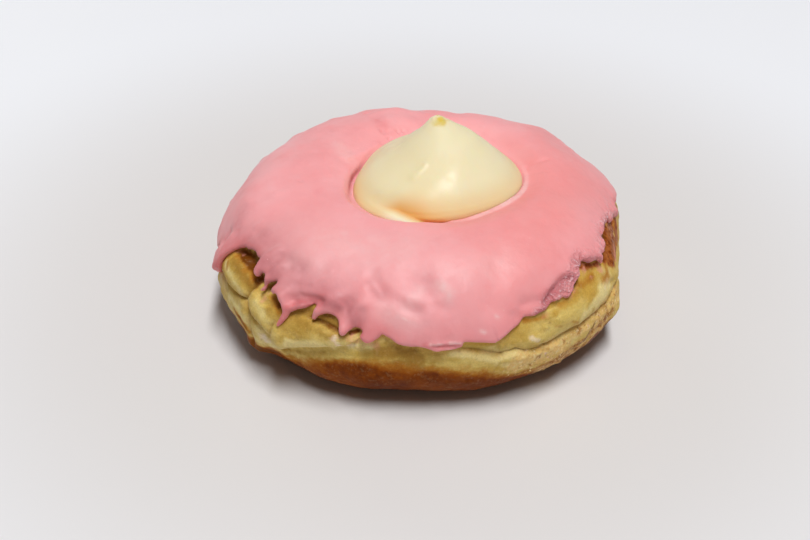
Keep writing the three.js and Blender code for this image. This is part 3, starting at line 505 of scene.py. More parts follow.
# ------------------------------------------------------------------------------------------------- dough
def build_dough():
    nt = 800
    a = np.arange(nt) / nt * 2 * np.pi
    a = a - 0.34 * np.sin(a + np.pi / 2)  # rows stand closer together towards the front
    s = np.concatenate([
        np.linspace(0.6, S_FLAT - 3, 26, endpoint=False),
        np.linspace(S_FLAT - 3, S_FLAT + 6, 12, endpoint=False),
        np.linspace(S_FLAT + 6, s_of_height(31.6), 136, endpoint=False),
        np.linspace(s_of_height(31.6), S_END - 0.8, 14),
    ])
    th, ss = np.meshgrid(a, s, indexing="ij")
    deg = np.degrees(th)
    base = surface(th, ss)
    out, sx, slide, pit, rim = dough_form(deg, ss)
    out = out + dough_lumps(deg, ss, base)
    th2, ss2 = th + sx / UNROLL, ss + slide
    p = surface(th2, ss2)
    z = height_of_s(ss2)
    side = smooth(S_FLAT + 1, S_FLAT + 8, ss)
    # where the crust is rough and blistered: the lower roll at the right, patches low down all round, some at the left
    d = wrap(deg + 38)
    rough = 1.0 * bump(d, 24) * (1 - smooth(13.5, 16.5, z)) + 0.22 * (1 - smooth(8, 13, z)) + 0.35 * bump(wrap(deg + 160), 20) * (1 - smooth(12, 16, z))
    rough = np.clip(rough * (0.7 + 0.6 * noise(p, 6, 21)), 0, 1)
    fine = 0.15 * fractal(p, 4.5, 3, 2) + 0.09 * fractal(p, 1.6, 8, 2)
    q = p.copy()
    q[..., 2] *= 3.6  # stretch marks that run round the waist
    fine += 0.09 * fractal(q, 5.0, 31, 2) * smooth(9, 12, z)
    blister = np.clip(fractal(p, 1.7, 44, 2) - 0.05, 0, None)
    fine += rough * (0.42 * blister - 0.06)
    pores = np.clip(-noise(p, 1.3, 61) - 0.55, 0, None)
    fine -= 0.28 * pores
    flat = base.reshape(-1, 3)
    marks = np.zeros(flat.shape[0])
    for line, amount, width in WRINKLES:
        idx, d = near_line(flat, line, 3.2 * width)
        marks[idx] += amount * bump(d, width)
    hollow_shade = np.zeros(flat.shape[0])
    for line, amount, width in HOLLOWS:
        idx, d = near_line(flat, line, 3.2 * width)
        marks[idx] += amount * np.exp(-((d / width) ** 3))
        hollow_shade[idx] = np.maximum(hollow_shade[idx], np.exp(-((d / (1.1 * width)) ** 3)))
    kinds = {k: np.zeros(flat.shape[0]) for k in ("amber", "brown", "gold", "pale", "olive", "dull_and_shade", "film", "white_smear_and_glint", "pinkspeck", "rust", "crumb")}
    ragged = 0.34 * fractal(flat, 3.4, 105, 3) + 0.24 * fractal(flat, 1.3, 106, 2)
    for kind, path, width, strength in PATCHES:
        idx, d = near_line(flat, path, 2.2 * width + 0.8)
        u = d / width + ragged[idx]
        kinds[kind][idx] = np.maximum(kinds[kind][idx], strength * np.exp(-np.clip(u, 0, None) ** (2.6 if kind in ("brown", "crumb", "rust") else 2.0)))
    mask = {name: np.clip(v.reshape(ss.shape), 0, 1) for name, v in kinds.items()}
    marks, hollow_shade = marks.reshape(ss.shape), hollow_shade.reshape(ss.shape)
    film = mask["film"] * smooth(-0.3, 0.25, fractal(p, 1.9, 47, 2) + 0.1)
    rough = np.maximum(rough, mask["crumb"])
    grit = np.clip(fractal(p, 1.25, 45, 2), 0, None)
    h = out + side * fine + marks + 0.12 * film + mask["crumb"] * (0.42 * grit + 0.16 * fractal(p, 3.0, 46, 2)) + mask["rust"] * 0.22 * fractal(p, 1.5, 48, 2)
    p = surface(th2, ss2, h)
    floor = 1 - smooth(S_FLAT - 6, S_FLAT + 6, ss)
    lift = 0.35 * np.clip(0.55 + fractal(p, 9, 71, 3), 0, None) + 0.5 * np.clip(noise(p, 26, 72), 0, None)
    p[..., 2] = np.where(floor > 0, p[..., 2] + floor * lift, p[..., 2])
    p[..., 2] = np.maximum(p[..., 2], 0.0)

    ns = len(s)
    verts = p.reshape(-1, 3)
    i, j = np.meshgrid(np.arange(nt), np.arange(ns - 1), indexing="ij")
    i2 = (i + 1) % nt
    faces = np.stack([i * ns + j, i2 * ns + j, i2 * ns + j + 1, i * ns + j + 1], -1).reshape(-1, 4).tolist()
    low, high = len(verts), len(verts) + 1
    verts = np.vstack([verts, [[0, 0, float(p[:, 0, 2].mean())], p[:, -1].mean(0)]])
    for k in range(nt):
        k2 = (k + 1) % nt
        faces.append([low, k2 * ns, k * ns])
        faces.append([high, k * ns + ns - 1, k2 * ns + ns - 1])
    obj = new_mesh("dough_crumb", verts, faces)

    # masks: how brown, how golden, how pale, how deep in a crease (which darkens the crease as painted shade)
    wob = 1.5 * noise(p, 13, 101) + 0.8 * fractal(p, 4, 102, 2)
    front = bump(wrap(deg + 92), 78)
    front = np.clip(front * 1.6, 0, 1)
    zz = z + wob
    line = np.array(sorted(BROWN_LINE))
    turns = np.vstack([line - [360, 0, 0], line, line + [360, 0, 0]])
    at = np.interp(deg, turns[:, 0], turns[:, 1])
    blur = np.interp(deg, turns[:, 0], turns[:, 2])
    shift = wob * (1 - 0.75 * front) + 0.3 * fractal(p, 2.2, 103, 2)
    blur = blur * (1 + 0.35 * bump(wrap(deg + 88), 30))
    brown = 1 - smooth(-3.4 * blur - 0.9, 3.0 * blur + 0.7, ss + 0.8 * shift - at)
    brown = brown * (0.82 + 0.18 * smooth(-1, 1, noise(p, 8, 104))) * (1 - 0.28 * bump(wrap(deg + 123), 10) * smooth(48.0, 53.0, ss))
    upper = smooth(24.5, 29.5, zz)
    upper *= 0.6 * np.clip(bump(wrap(deg - 5), 42) + bump(wrap(deg - 120), 70), 0, 1)
    gold = np.clip(0.3 + 0.4 * smooth(-1.0, 1.0, noise(p, 9, 111)), 0, 1)
    gold = np.clip(gold * (0.75 + 0.5 * smooth(16, 24, z)) - 0.5 * rim, 0, 1)
    # painted highlight: pale along the edges of the lobes that hang over the creases
    pale = np.clip(0.7 * rim, 0, 1)
    brown = np.maximum(brown, 0.0)
    amber = np.maximum(upper, mask["amber"])
    # painted shade: the hollows under the icing's loose edge are darkened, with the brown patches, some of which are
    # shadows under the icing's edge
    deep = np.clip(np.maximum(mask["brown"], 0.6 * hollow_shade), 0, 1)
    gold = np.maximum(gold * (1 - mask["pale"]), mask["gold"])
    pale = np.maximum(pale, mask["pale"]) * (1 - 0.6 * mask["gold"])

    def put(name, *channels):
        data = np.stack(channels, -1).reshape(-1, len(channels))
        ends = np.zeros((2, len(channels)))
        paint(obj, name, np.vstack([data, ends]))

    put("zones", np.clip(brown, 0, 1), gold, pale, np.clip(pit * 0.7, 0, 1))
    put("more", amber, rough, np.maximum(mask["olive"], mask["dull_and_shade"]), deep)
    put("marks", film, mask["white_smear_and_glint"], mask["pinkspeck"], mask["dull_and_shade"])
    put("extra", mask["rust"], mask["crumb"])
    return obj


# ------------------------------------------------------------------------------------------------- icing
# The coat's lower edge where the photo shows it: (angle, place on the profile), round the pulled teeth and tongues.
EDGE_FRONT = [
    (-176.5, 66.2), (-174.6, 65.0), (-172.9, 64.1), (-171.3, 64.4), (-169.6, 66.0), (-167.9, 67.5), (-167.6, 68.4), (-167.2, 67.9), (-167.6, 67.0), (-169.4, 65.4), (-171.4, 63.9), (-172.6, 62.6),
    (-172.4, 61.4), (-170.8, 60.7), (-169.2, 60.2), (-167.6, 60.0), (-165.8, 60.6), (-163.1, 62.4), (-158.8, 65.4), (-157.4, 67.0), (-157.3, 68.1), (-157.0, 69.3), (-156.5, 70.4), (-155.7, 71.7),
    (-155.0, 72.8), (-154.3, 73.6), (-153.7, 74.4), (-153.3, 74.9), (-151.7, 75.8), (-151.1, 76.4), (-150.5, 76.7), (-149.6, 76.7), (-149.2, 76.8), (-148.8, 77.2), (-147.7, 77.4), (-146.6, 77.6),
    (-145.6, 77.4), (-144.6, 77.0), (-143.8, 76.9), (-143.1, 77.1), (-142.6, 77.1), (-142.1, 76.8), (-142.1, 76.2), (-141.9, 75.5), (-142.1, 74.9), (-142.4, 74.6), (-141.8, 74.2), (-141.1, 73.8),
    (-140.5, 73.5), (-140.0, 73.5), (-139.7, 73.8), (-139.5, 74.2), (-139.4, 74.8), (-138.9, 75.1), (-138.3, 75.2), (-137.6, 74.9), (-137.1, 74.4), (-136.9, 73.7), (-136.5, 72.9), (-136.8, 72.3),
    (-137.3, 71.7), (-137.5, 71.3), (-136.8, 71.3), (-136.1, 71.7), (-135.9, 72.2), (-136.0, 72.7), (-136.0, 73.2), (-135.8, 73.8), (-135.3, 74.1), (-134.5, 74.5), (-134.1, 74.8), (-133.6, 75.0),
    (-133.0, 75.0), (-133.0, 74.2), (-133.4, 73.6), (-133.7, 73.0), (-133.7, 72.3), (-133.2, 71.9), (-132.8, 72.0), (-132.6, 72.4), (-132.2, 72.6), (-131.8, 72.5), (-131.2, 72.3), (-130.8, 71.8),
    (-130.5, 71.3), (-130.2, 71.0), (-129.8, 70.9), (-129.4, 70.8), (-129.0, 70.4), (-128.7, 69.9), (-128.6, 69.2), (-128.8, 68.5), (-129.0, 67.7), (-129.3, 66.9), (-129.4, 66.1), (-129.2, 65.6),
    (-128.5, 65.9), (-128.0, 66.6), (-127.6, 67.3), (-127.1, 68.2), (-126.8, 69.1), (-126.6, 69.7), (-126.0, 70.2), (-125.4, 70.8), (-124.6, 71.2), (-123.8, 71.4), (-123.2, 71.7), (-122.6, 72.1),
    (-121.8, 72.6), (-121.2, 73.0), (-120.6, 73.2), (-120.3, 72.7), (-120.4, 71.9), (-120.4, 71.2), (-120.4, 70.6), (-120.3, 70.0), (-119.8, 69.8), (-119.4, 70.1), (-119.2, 70.6), (-118.7, 71.0),
    (-118.0, 71.4), (-117.2, 71.7), (-116.6, 71.9), (-115.7, 71.9), (-114.5, 71.7), (-113.4, 71.1), (-112.9, 70.3), (-112.6, 69.7), (-112.4, 69.0), (-112.0, 68.4), (-111.3, 68.0), (-110.8, 68.0),
    (-110.4, 68.2), (-110.0, 68.8), (-109.7, 69.0), (-109.0, 69.5), (-108.4, 69.8), (-107.8, 69.8), (-107.0, 69.8), (-106.4, 69.6), (-106.4, 69.0), (-106.7, 68.4), (-106.6, 67.8), (-106.0, 67.2),
    (-105.0, 66.7), (-104.0, 66.9), (-103.0, 67.4), (-102.2, 68.0), (-101.6, 68.6), (-101.2, 69.1), (-100.6, 69.4), (-99.9, 68.9), (-98.8, 68.4), (-97.7, 67.8), (-96.6, 67.4), (-95.6, 67.1),
    (-94.0, 66.9), (-92.1, 66.8), (-90.2, 66.6), (-89.0, 66.4), (-87.8, 66.0), (-86.8, 65.7), (-85.4, 65.6), (-84.1, 65.7), (-82.8, 65.8), (-81.4, 65.9), (-80.0, 66.2), (-79.4, 66.6),
    (-79.2, 67.2), (-78.7, 67.3), (-77.3, 67.3), (-75.6, 67.1), (-73.7, 66.9), (-71.8, 66.6), (-70.4, 66.4), (-70.0, 66.8), (-69.5, 67.1), (-68.9, 67.4), (-68.0, 67.8), (-67.3, 68.1),
    (-66.6, 68.5), (-65.6, 68.8), (-64.7, 69.2), (-63.8, 69.5), (-63.0, 70.0), (-62.4, 70.6), (-61.6, 71.0), (-60.6, 70.9), (-59.4, 70.6), (-58.2, 70.5), (-57.5, 70.8), (-56.6, 70.9),
    (-55.6, 71.0), (-54.8, 71.3), (-54.2, 71.7), (-53.3, 72.0), (-52.2, 72.2), (-51.2, 72.2), (-49.9, 72.1), (-48.6, 71.9), (-47.6, 71.8), (-46.8, 72.0), (-46.2, 72.4), (-45.6, 72.9),
    (-45.0, 73.3), (-44.3, 73.8), (-43.6, 74.2), (-43.0, 74.5), (-42.4, 74.5), (-41.7, 74.6), (-41.0, 75.0), (-40.6, 75.5), (-40.3, 76.2), (-39.6, 76.5), (-38.8, 76.4), (-38.2, 76.7),
    (-37.8, 77.1), (-37.1, 77.2), (-36.3, 76.8), (-34.8, 76.3), (-33.2, 75.8), (-31.9, 75.3), (-30.9, 74.7), (-30.3, 74.2), (-29.5, 74.7), (-28.1, 75.2), (-26.5, 75.5), (-24.8, 75.8),
    (-24.0, 76.5), (-22.9, 77.3), (-20.6, 77.8), (-18.0, 78.0), (-15.6, 78.1), (-13.2, 77.8), (-11.1, 77.3), (-9.6, 76.5), (-9.5, 75.7), (-6.7, 74.8), (-5.0, 74.7), (-3.3, 74.0),
    (-1.5, 72.7), (0.3, 71.5), (1.0, 71.7), (0.6, 72.8), (0.8, 73.7), (2.2, 74.0), (4.9, 73.5), (7.8, 72.9), (11.3, 72.0), (12.3, 72.7),
]
# The rest of the edge, round the far side: (angle, height).
EDGE_BACK = [
    (16.5, 27.2), (18, 25.4), (21, 25.0), (24, 26.2), (26.4, 24.8), (28, 23.2), (29.6, 24.4), (33, 25.0), (37, 23.9), (40, 23.6), (43.6, 25.2), (47, 24.8),
    (51, 24.6), (54, 23.4), (57, 23.8), (60, 22.2), (62.4, 23.6), (66, 24.0), (70, 22.9), (74, 22.4), (77, 21.9), (80, 20.8), (83, 22.4), (86, 22.6),
    (90, 24.0), (93, 23.6), (96, 22.4), (98, 21.0), (100.6, 22.8), (104, 23.0), (108, 22.2), (112, 21.8), (116, 23.4), (120, 23.6), (124, 23.4), (127, 22.6),
    (130, 22.2), (133, 21.0), (136, 22.9), (139, 23.2), (143, 23.0), (147, 22.2), (150, 21.8), (153, 21.0), (156.5, 22.6), (160, 22.8), (164, 21.6), (167, 20.6),
    (170, 20.2), (172, 19.2), (174, 20.2), (176, 21.0), (179, 19.6), (181, 19.0),
]
# Pulled peaks of the far side: root (angle, height), tip (angle, height), radius at the root and tip, the tip's
# distance off the dough, and how far a ridge runs up the coat from the root.
PEAKS = [
    ((28.0, 26.0), (27.0, 22.2), 1.2, 0.5, 0.4, 6), ((44.0, 26.2), (44.8, 23.4), 0.9, 0.5, 0.4, 4), ((60.6, 24.6), (58.8, 20.8), 1.3, 0.45, 0.5, 7),
    ((78.0, 23.6), (80.2, 19.8), 1.4, 0.6, 0.5, 6), ((98.0, 24.0), (99.6, 19.4), 1.1, 0.4, 0.6, 8), ((107, 24.4), (106.0, 21.4), 0.9, 0.45, 0.4, 4), ((133.2, 23.6), (135.4, 20.2), 1.3, 0.45, 0.5, 7),
    ((150.0, 23.4), (148.8, 20.6), 1.0, 0.5, 0.4, 5), ((171.6, 22.2), (172.8, 18.6), 1.3, 0.5, 0.5, 6),
]
# Drag marks, valleys and ridges of the coat: line [(angle, place on the profile)], amount (mm, + is a ridge), half-width.
DRAGS = [
    ([(-126.6, 72.6), (-125.0, 73.7), (-122.8, 74.1), (-120.4, 74.3), (-119.2, 74.2)], -1.5, 1.2),
    ([(-124.6, 74.8), (-122.0, 75.1), (-119.6, 75.2)], 0.5, 1.0),
    ([(-129.4, 72.5), (-127.7, 71.6), (-125.6, 71.8), (-124.0, 72.2)], 0.5, 1.1),
    ([(-133.2, 72.8), (-131.1, 73.1), (-129.2, 73.8)], 0.5, 1.2),
    ([(-129.6, 72.2), (-128.2, 70.8)], 0.45, 1.0),
    ([(-140.8, 74.1), (-140.8, 76.4), (-140.2, 78.7), (-139.7, 80.9)], 0.65, 1.3),
    ([(-137.0, 76.1), (-137.5, 77.7), (-137.2, 79.9)], -0.55, 1.2),
    ([(-136.4, 74.4), (-135.8, 76.5), (-134.6, 78.7)], 0.4, 1.0),
    ([(-134.4, 80.4), (-131.7, 80.0), (-129.0, 79.5)], -0.7, 1.7),
    ([(-134.2, 75.2), (-133.5, 76.9), (-132.0, 78.1)], -0.45, 1.2),
    ([(-119.8, 70.5), (-119.2, 72.7), (-117.7, 74.1), (-115.6, 75.6)], 0.6, 1.4),
    ([(-110.9, 75.4), (-111.8, 73.8), (-113.3, 72.2)], -0.75, 1.6),
    ([(-110.9, 69.0), (-110.2, 71.1), (-109.0, 73.1), (-108.2, 74.9)], 0.7, 1.6),
    ([(-108.2, 70.3), (-107.4, 72.0), (-107.1, 73.5)], -0.85, 1.3),
    ([(-103.8, 68.0), (-103.8, 70.2), (-104.2, 72.8), (-105.7, 75.4), (-108.2, 78.5)], 0.45, 1.9),
    ([(-107.0, 82.4), (-104.5, 80.3), (-102.4, 78.4)], -0.48, 1.6),
    ([(-102.4, 78.4), (-99.9, 77.6), (-96.8, 76.5), (-94.4, 75.3), (-91.6, 74.5)], -0.38, 1.5),
    ([(-93.2, 80.6), (-90.1, 80.2), (-88.2, 79.1)], -0.28, 2.6),
    ([(-88.2, 77.3), (-86.3, 76.2), (-84.0, 75.3)], -0.3, 1.3),
    ([(-94.6, 77.5), (-91.2, 77.1), (-86.2, 77.0)], 0.35, 1.2),
    ([(-83.9, 81.0), (-82.5, 79.4)], 0.3, 2.2),
    ([(-89.4, 73.7), (-87.2, 73.7)], 0.35, 2.2),
    ([(-95.6, 73.4), (-94.5, 73.2)], 0.3, 1.8),
    ([(-98.6, 75.3), (-97.2, 75.0)], 0.25, 1.5),
    ([(-55.2, 81.0), (-60.9, 79.3), (-65.5, 77.1)], 0.5, 3.0),
    ([(-67.5, 83.3), (-69.9, 78.8), (-69.3, 76.0)], -0.3, 2.8),
    ([(-45.6, 76.1), (-48.1, 75.7), (-50.1, 75.0), (-51.8, 74.2), (-53.2, 73.4), (-54.5, 72.7)], -1.1, 0.8),
    ([(-61.5, 73.9), (-59.4, 73.9), (-57.0, 73.6)], -0.6, 1.3),
    ([(-65.1, 71.8), (-63.6, 71.9)], -0.45, 1.2),
    ([(168.2, 99.6), (159.0, 101.5), (149.6, 102.6), (138.6, 102.7)], 0.55, 1.3),
    ([(9.5, 100.4), (9.1, 97.8), (11.0, 95.1)], -0.35, 0.8),
    ([(0.5, 100.5), (-0.1, 96.2)], -0.2, 0.8),
    ([(126.0, 102.0), (126.0, 102.3)], -0.5, 0.45),
    ([(117.2, 100.6), (117.1, 100.8)], -0.5, 0.45),
    ([(113.9, 100.6), (113.7, 100.7)], -0.45, 0.4),
    ([(125.4, 98.7), (125.6, 99.1)], -0.3, 0.9),
    ([(119.1, 93.2), (124.5, 98.0), (126.1, 100.7)], -0.3, 1.8),
    ([(100.0, 95.2), (96.1, 96.6)], -0.6, 2.0),
    ([(116.4, 87.0), (115.4, 87.4)], -0.6, 1.0),
    ([(108.9, 89.8), (104.8, 89.9)], 0.5, 2.0),
    ([(-169.3, 91.9), (-169.0, 91.9)], -0.4, 0.5),
    ([(-164.6, 84.3), (-163.5, 85.0)], -0.25, 1.4),
    ([(-154.0, 81.0), (-153.9, 82.5)], 0.25, 0.8),
    ([(-164.5, 86.7), (-163.7, 87.9)], 0.2, 1.0),
    ([(-160.9, 65.3), (-160.3, 68.3), (-159.4, 71.8), (-159.1, 74.9)], 0.7, 1.4),
    ([(-164.2, 69.8), (-164.4, 71.2), (-163.7, 73.9)], -0.8, 0.9),
    ([(-123.4, 77.4), (-121.4, 79.3), (-119.6, 81.0)], 0.3, 0.6),
    ([(-152.7, 75.7), (-152.0, 77.8), (-152.2, 80.2)], -0.35, 1.6),
    ([(-126.3, 76.0), (-124.4, 78.9), (-122.5, 80.8)], -0.3, 1.6),
    ([(-87.6, 67.1), (-85.3, 67.0), (-82.9, 66.9), (-80.5, 66.9)], -0.6, 0.42),
    ([(-88.4, 67.4), (-85.3, 67.5), (-82.4, 67.4), (-80.0, 67.3)], 0.35, 0.45),
    ([(-35.8, 77.8), (-32.6, 77.3), (-30.9, 76.1)], 0.45, 1.2),
    ([(-40.3, 78.1), (-37.6, 78.4)], -0.35, 1.2),
]
# Tints of the coat: kind, line [(angle, place on the profile)], half-width in mm, strength. The mauve rows are painted
# shade where the coat turns from the light, in its folds and valleys, over thin coat; the pale rows hold painted
# highlights on lit lips; the lilac rows are crumbs with painted glints; one rose row is a painted shadow.
TINTS = [
    ('mauve_thin_and_shade', [(-155.2, 76.7), (-159.6, 77.2), (-164.3, 78.7)], 3.0, 0.35),
    ('mauve_thin_and_shade', [(-151.4, 77.2), (-146.1, 77.8), (-142.1, 77.4), (-138.2, 76.4), (-134.4, 75.3)], 2.4, 0.75),
    ('mauve_thin_and_shade', [(-147.9, 80.5), (-141.1, 80.0), (-134.7, 79.2), (-129.4, 78.4)], 3.2, 0.55),
    ('mauve_thin_and_shade', [(-132.0, 76.9), (-126.7, 76.6), (-121.1, 76.8), (-116.4, 77.3)], 3.0, 0.45),
    ('mauve_thin_and_shade', [(-125.6, 72.5), (-122.8, 73.0), (-120.8, 73.7)], 1.2, 0.8),
    ('mauve_thin_and_shade', [(-118.7, 74.3), (-116.2, 74.1), (-113.8, 73.7)], 1.5, 0.9),
    ('mauve_thin_and_shade', [(-114.6, 76.0), (-112.0, 75.3), (-109.7, 73.4), (-108.1, 71.4)], 1.6, 0.7),
    ('mauve_thin_and_shade', [(-107.0, 80.3), (-104.9, 78.6), (-102.2, 77.3)], 1.1, 0.5),
    ('mauve_thin_and_shade', [(-100.4, 77.0), (-96.8, 75.9), (-93.9, 75.3), (-91.1, 75.4)], 1.0, 0.3),
    ('mauve_thin_and_shade', [(-89.7, 82.7), (-87.0, 81.6), (-85.2, 81.3)], 2.0, 0.3),
    ('mauve_thin_and_shade', [(-54.6, 73.1), (-52.2, 74.1), (-49.8, 74.8), (-47.0, 75.7), (-44.6, 75.9)], 1.2, 1.0),
    ('mauve_thin_and_shade', [(-57.8, 71.2), (-55.2, 71.7), (-53.1, 72.3)], 0.9, 0.8),
    ('mauve_thin_and_shade', [(-39.5, 77.6), (-35.7, 76.7), (-32.0, 75.7)], 0.9, 0.6),
    ('rose', [(-163.6, 66.9), (-163.4, 64.7), (-156.7, 68.1)], 1.6, 0.9),
    ('rose', [(-157.7, 70.3), (-155.7, 73.0), (-153.4, 75.3)], 1.8, 0.6),
    ('rose', [(-168.4, 70.0), (-160.9, 71.9), (-160.2, 70.6)], 1.2, 0.5),
    ('rose', [(-129.0, 67.2), (-127.8, 68.8), (-126.8, 71.0)], 1.6, 0.7),
    ('rose', [(-124.8, 73.2), (-121.4, 74.0), (-119.0, 75.2)], 1.2, 0.5),
    ('rose', [(-106.4, 68.1), (-103.9, 68.9), (-102.0, 70.4)], 1.8, 0.5),
    ('rose', [(-69.2, 69.4), (-65.6, 71.1), (-61.0, 72.5), (-56.4, 73.3), (-52.7, 74.5)], 2.0, 0.2),
    ('rose', [(-48.0, 78.1), (-40.4, 79.2), (-32.3, 78.3), (-27.4, 77.8)], 2.6, 0.2),
    # painted shadow: the red line under the front lip's bright edge
    ('rose', [(-89.5, 67.4), (-85.6, 66.7), (-80.8, 67.1)], 0.7, 0.65),
    ('rose', [(-96.6, 69.7), (-90.8, 68.7), (-82.9, 68.9), (-74.8, 68.7)], 2.0, 0.2),
    ('rose', [(-59.8, 77.2), (-53.5, 78.6)], 2.4, 0.12),
    ('rose', [(120.3, 94.8), (123.0, 98.2), (122.6, 100.5)], 1.4, 0.5),
    ('pale', [(-84.9, 80.1), (-83.2, 79.2), (-82.6, 78.5)], 1.5, 0.9),
    ('pale', [(-91.8, 79.1), (-94.6, 76.4), (-96.0, 74.6)], 1.6, 0.4),
    ('pale', [(-100.7, 74.3), (-97.0, 73.3), (-93.7, 72.6)], 2.0, 0.5),
    ('pale', [(-130.4, 86.6), (-121.1, 87.4), (-111.3, 88.1), (-100.9, 88.6)], 5.0, 0.4),
    ('pale', [(-125.5, 90.5), (-122.7, 88.8)], 1.2, 0.4),
    ('pale', [(-64.2, 84.3), (-75.2, 83.1), (-85.2, 84.1)], 4.0, 0.3),
    ('pale', [(-131.5, 81.9), (-124.0, 82.4)], 3.0, 0.3),
    ('pale', [(-95.4, 73.2), (-94.8, 72.9)], 0.4, 1.0),
    ('pale', [(-74.4, 69.7), (-73.6, 69.4)], 0.35, 1.0),
    ('pale', [(-69.8, 72.5), (-69.4, 72.2)], 0.35, 0.9),
    ('pale', [(157.3, 97.0), (168.2, 99.6)], 1.6, 0.4),
    # lilac rows: pale crumbs of the torn edge, with painted glints
    ('lilac_crumbs_and_glints', [(-39.7, 78.2), (-40.2, 76.6), (-41.1, 75.2), (-43.0, 74.4)], 0.8, 1.0),
    ('lilac_crumbs_and_glints', [(-44.1, 76.0), (-46.0, 75.1), (-48.4, 74.2), (-50.1, 72.9)], 0.8, 1.0),
    ('lilac_crumbs_and_glints', [(-50.2, 75.2), (-52.7, 73.8), (-55.1, 72.8)], 0.8, 0.7),
    ('lilac_crumbs_and_glints', [(-54.2, 72.6), (-56.5, 71.5), (-58.5, 71.1)], 0.7, 0.7),
    ('lilac_crumbs_and_glints', [(-21.1, 79.7), (-25.2, 78.0), (-29.4, 76.5), (-32.1, 75.3)], 0.9, 0.6),
    ('lilac_crumbs_and_glints', [(-18.4, 79.6), (-13.8, 78.8), (-6.6, 76.5), (-2.5, 74.2)], 0.9, 0.9),
    ('lilac_crumbs_and_glints', [(-1.6, 78.2), (-4.3, 77.4)], 0.8, 0.4),
    ('lilac_crumbs_and_glints', [(-35.5, 76.1), (-32.4, 75.9)], 0.7, 0.6),
    # painted highlights: two thin bright lines along the front lip's edge
    ('pale', [(-88.0, 67.45), (-85.4, 67.4)], 0.26, 1.0), ('pale', [(-83.0, 67.5), (-80.0, 67.4)], 0.26, 1.0),
]
# Where the coat's edge stands off the dough: (angle, width in degrees, mm).
LOOSE = [(-150, 4.5, 0.5), (-144, 5, 0.55), (-137.5, 5, 0.55), (-131, 4.5, 0.4), (-125, 3.5, 0.25), (-107.5, 2.0, 0.15), (-160, 5, 0.2), (-34, 6, 0.4), (-43, 3, 0.35), (-16, 9, 0.3), (30, 14, 0.3), (98, 9, 0.5), (140, 12, 0.4)]
S_INNER = float(np.interp(16.4, PQ[::-1, 0][: len(PQ) - I_CROWN], PS[::-1][: len(PQ) - I_CROWN]))  # the coat's end on the bowl's wall


def blur_round(a, sigma):
    """Gaussian blur of a map along its first axis, which runs right round."""
    n = int(3 * sigma) + 1
    w = np.exp(-((np.arange(-n, n + 1) / sigma) ** 2) / 2)
    w /= w.sum()
    return sum(w[k + n] * np.roll(a, k, axis=0) for k in range(-n, n + 1))


def blur_up(a, sigma):
    """Gaussian blur of a map along its second axis."""
    n = int(3 * sigma) + 1
    w = np.exp(-((np.arange(-n, n + 1) / sigma) ** 2) / 2)
    w /= w.sum()
    pad = np.pad(a, ((0, 0), (n, n)), "edge")
    return sum(w[k] * pad[:, k : k + a.shape[1]] for k in range(2 * n + 1))


# How far out the cream's foot lies: (angle, mm from the middle, on the bun's form).
CREAM_EDGE = [
    (-180, 21.0), (-166, 22.1), (-155, 23.1), (-144, 23.9), (-132, 24.2), (-121, 24.0), (-109, 23.0), (-98, 21.4), (-86, 21.2), (-75, 20.8), (-63, 20.6), (-51, 20.6), (-39, 20.8), (-27, 21.0), (-14, 20.9),
    (-2, 20.7), (10, 20.4), (23, 20.0), (35, 19.8), (48, 19.9), (61, 20.4), (73, 21.1), (86, 21.6), (98, 22.1), (110, 21.9), (123, 21.3), (135, 20.9), (147, 20.4), (159, 20.0), (171, 20.2), (180, 21.0),
]


def off_cream(deg, s):
    """Millimetres outwards from the cream's foot, for places on the bowl, whose coat stands 1.4 mm further in."""
    r = np.interp(s, PS[I_CROWN:], PQ[I_CROWN:, 0])
    e = np.array(CREAM_EDGE)
    return r - 1.4 - np.interp(wrap(deg), e[:, 0], e[:, 1])


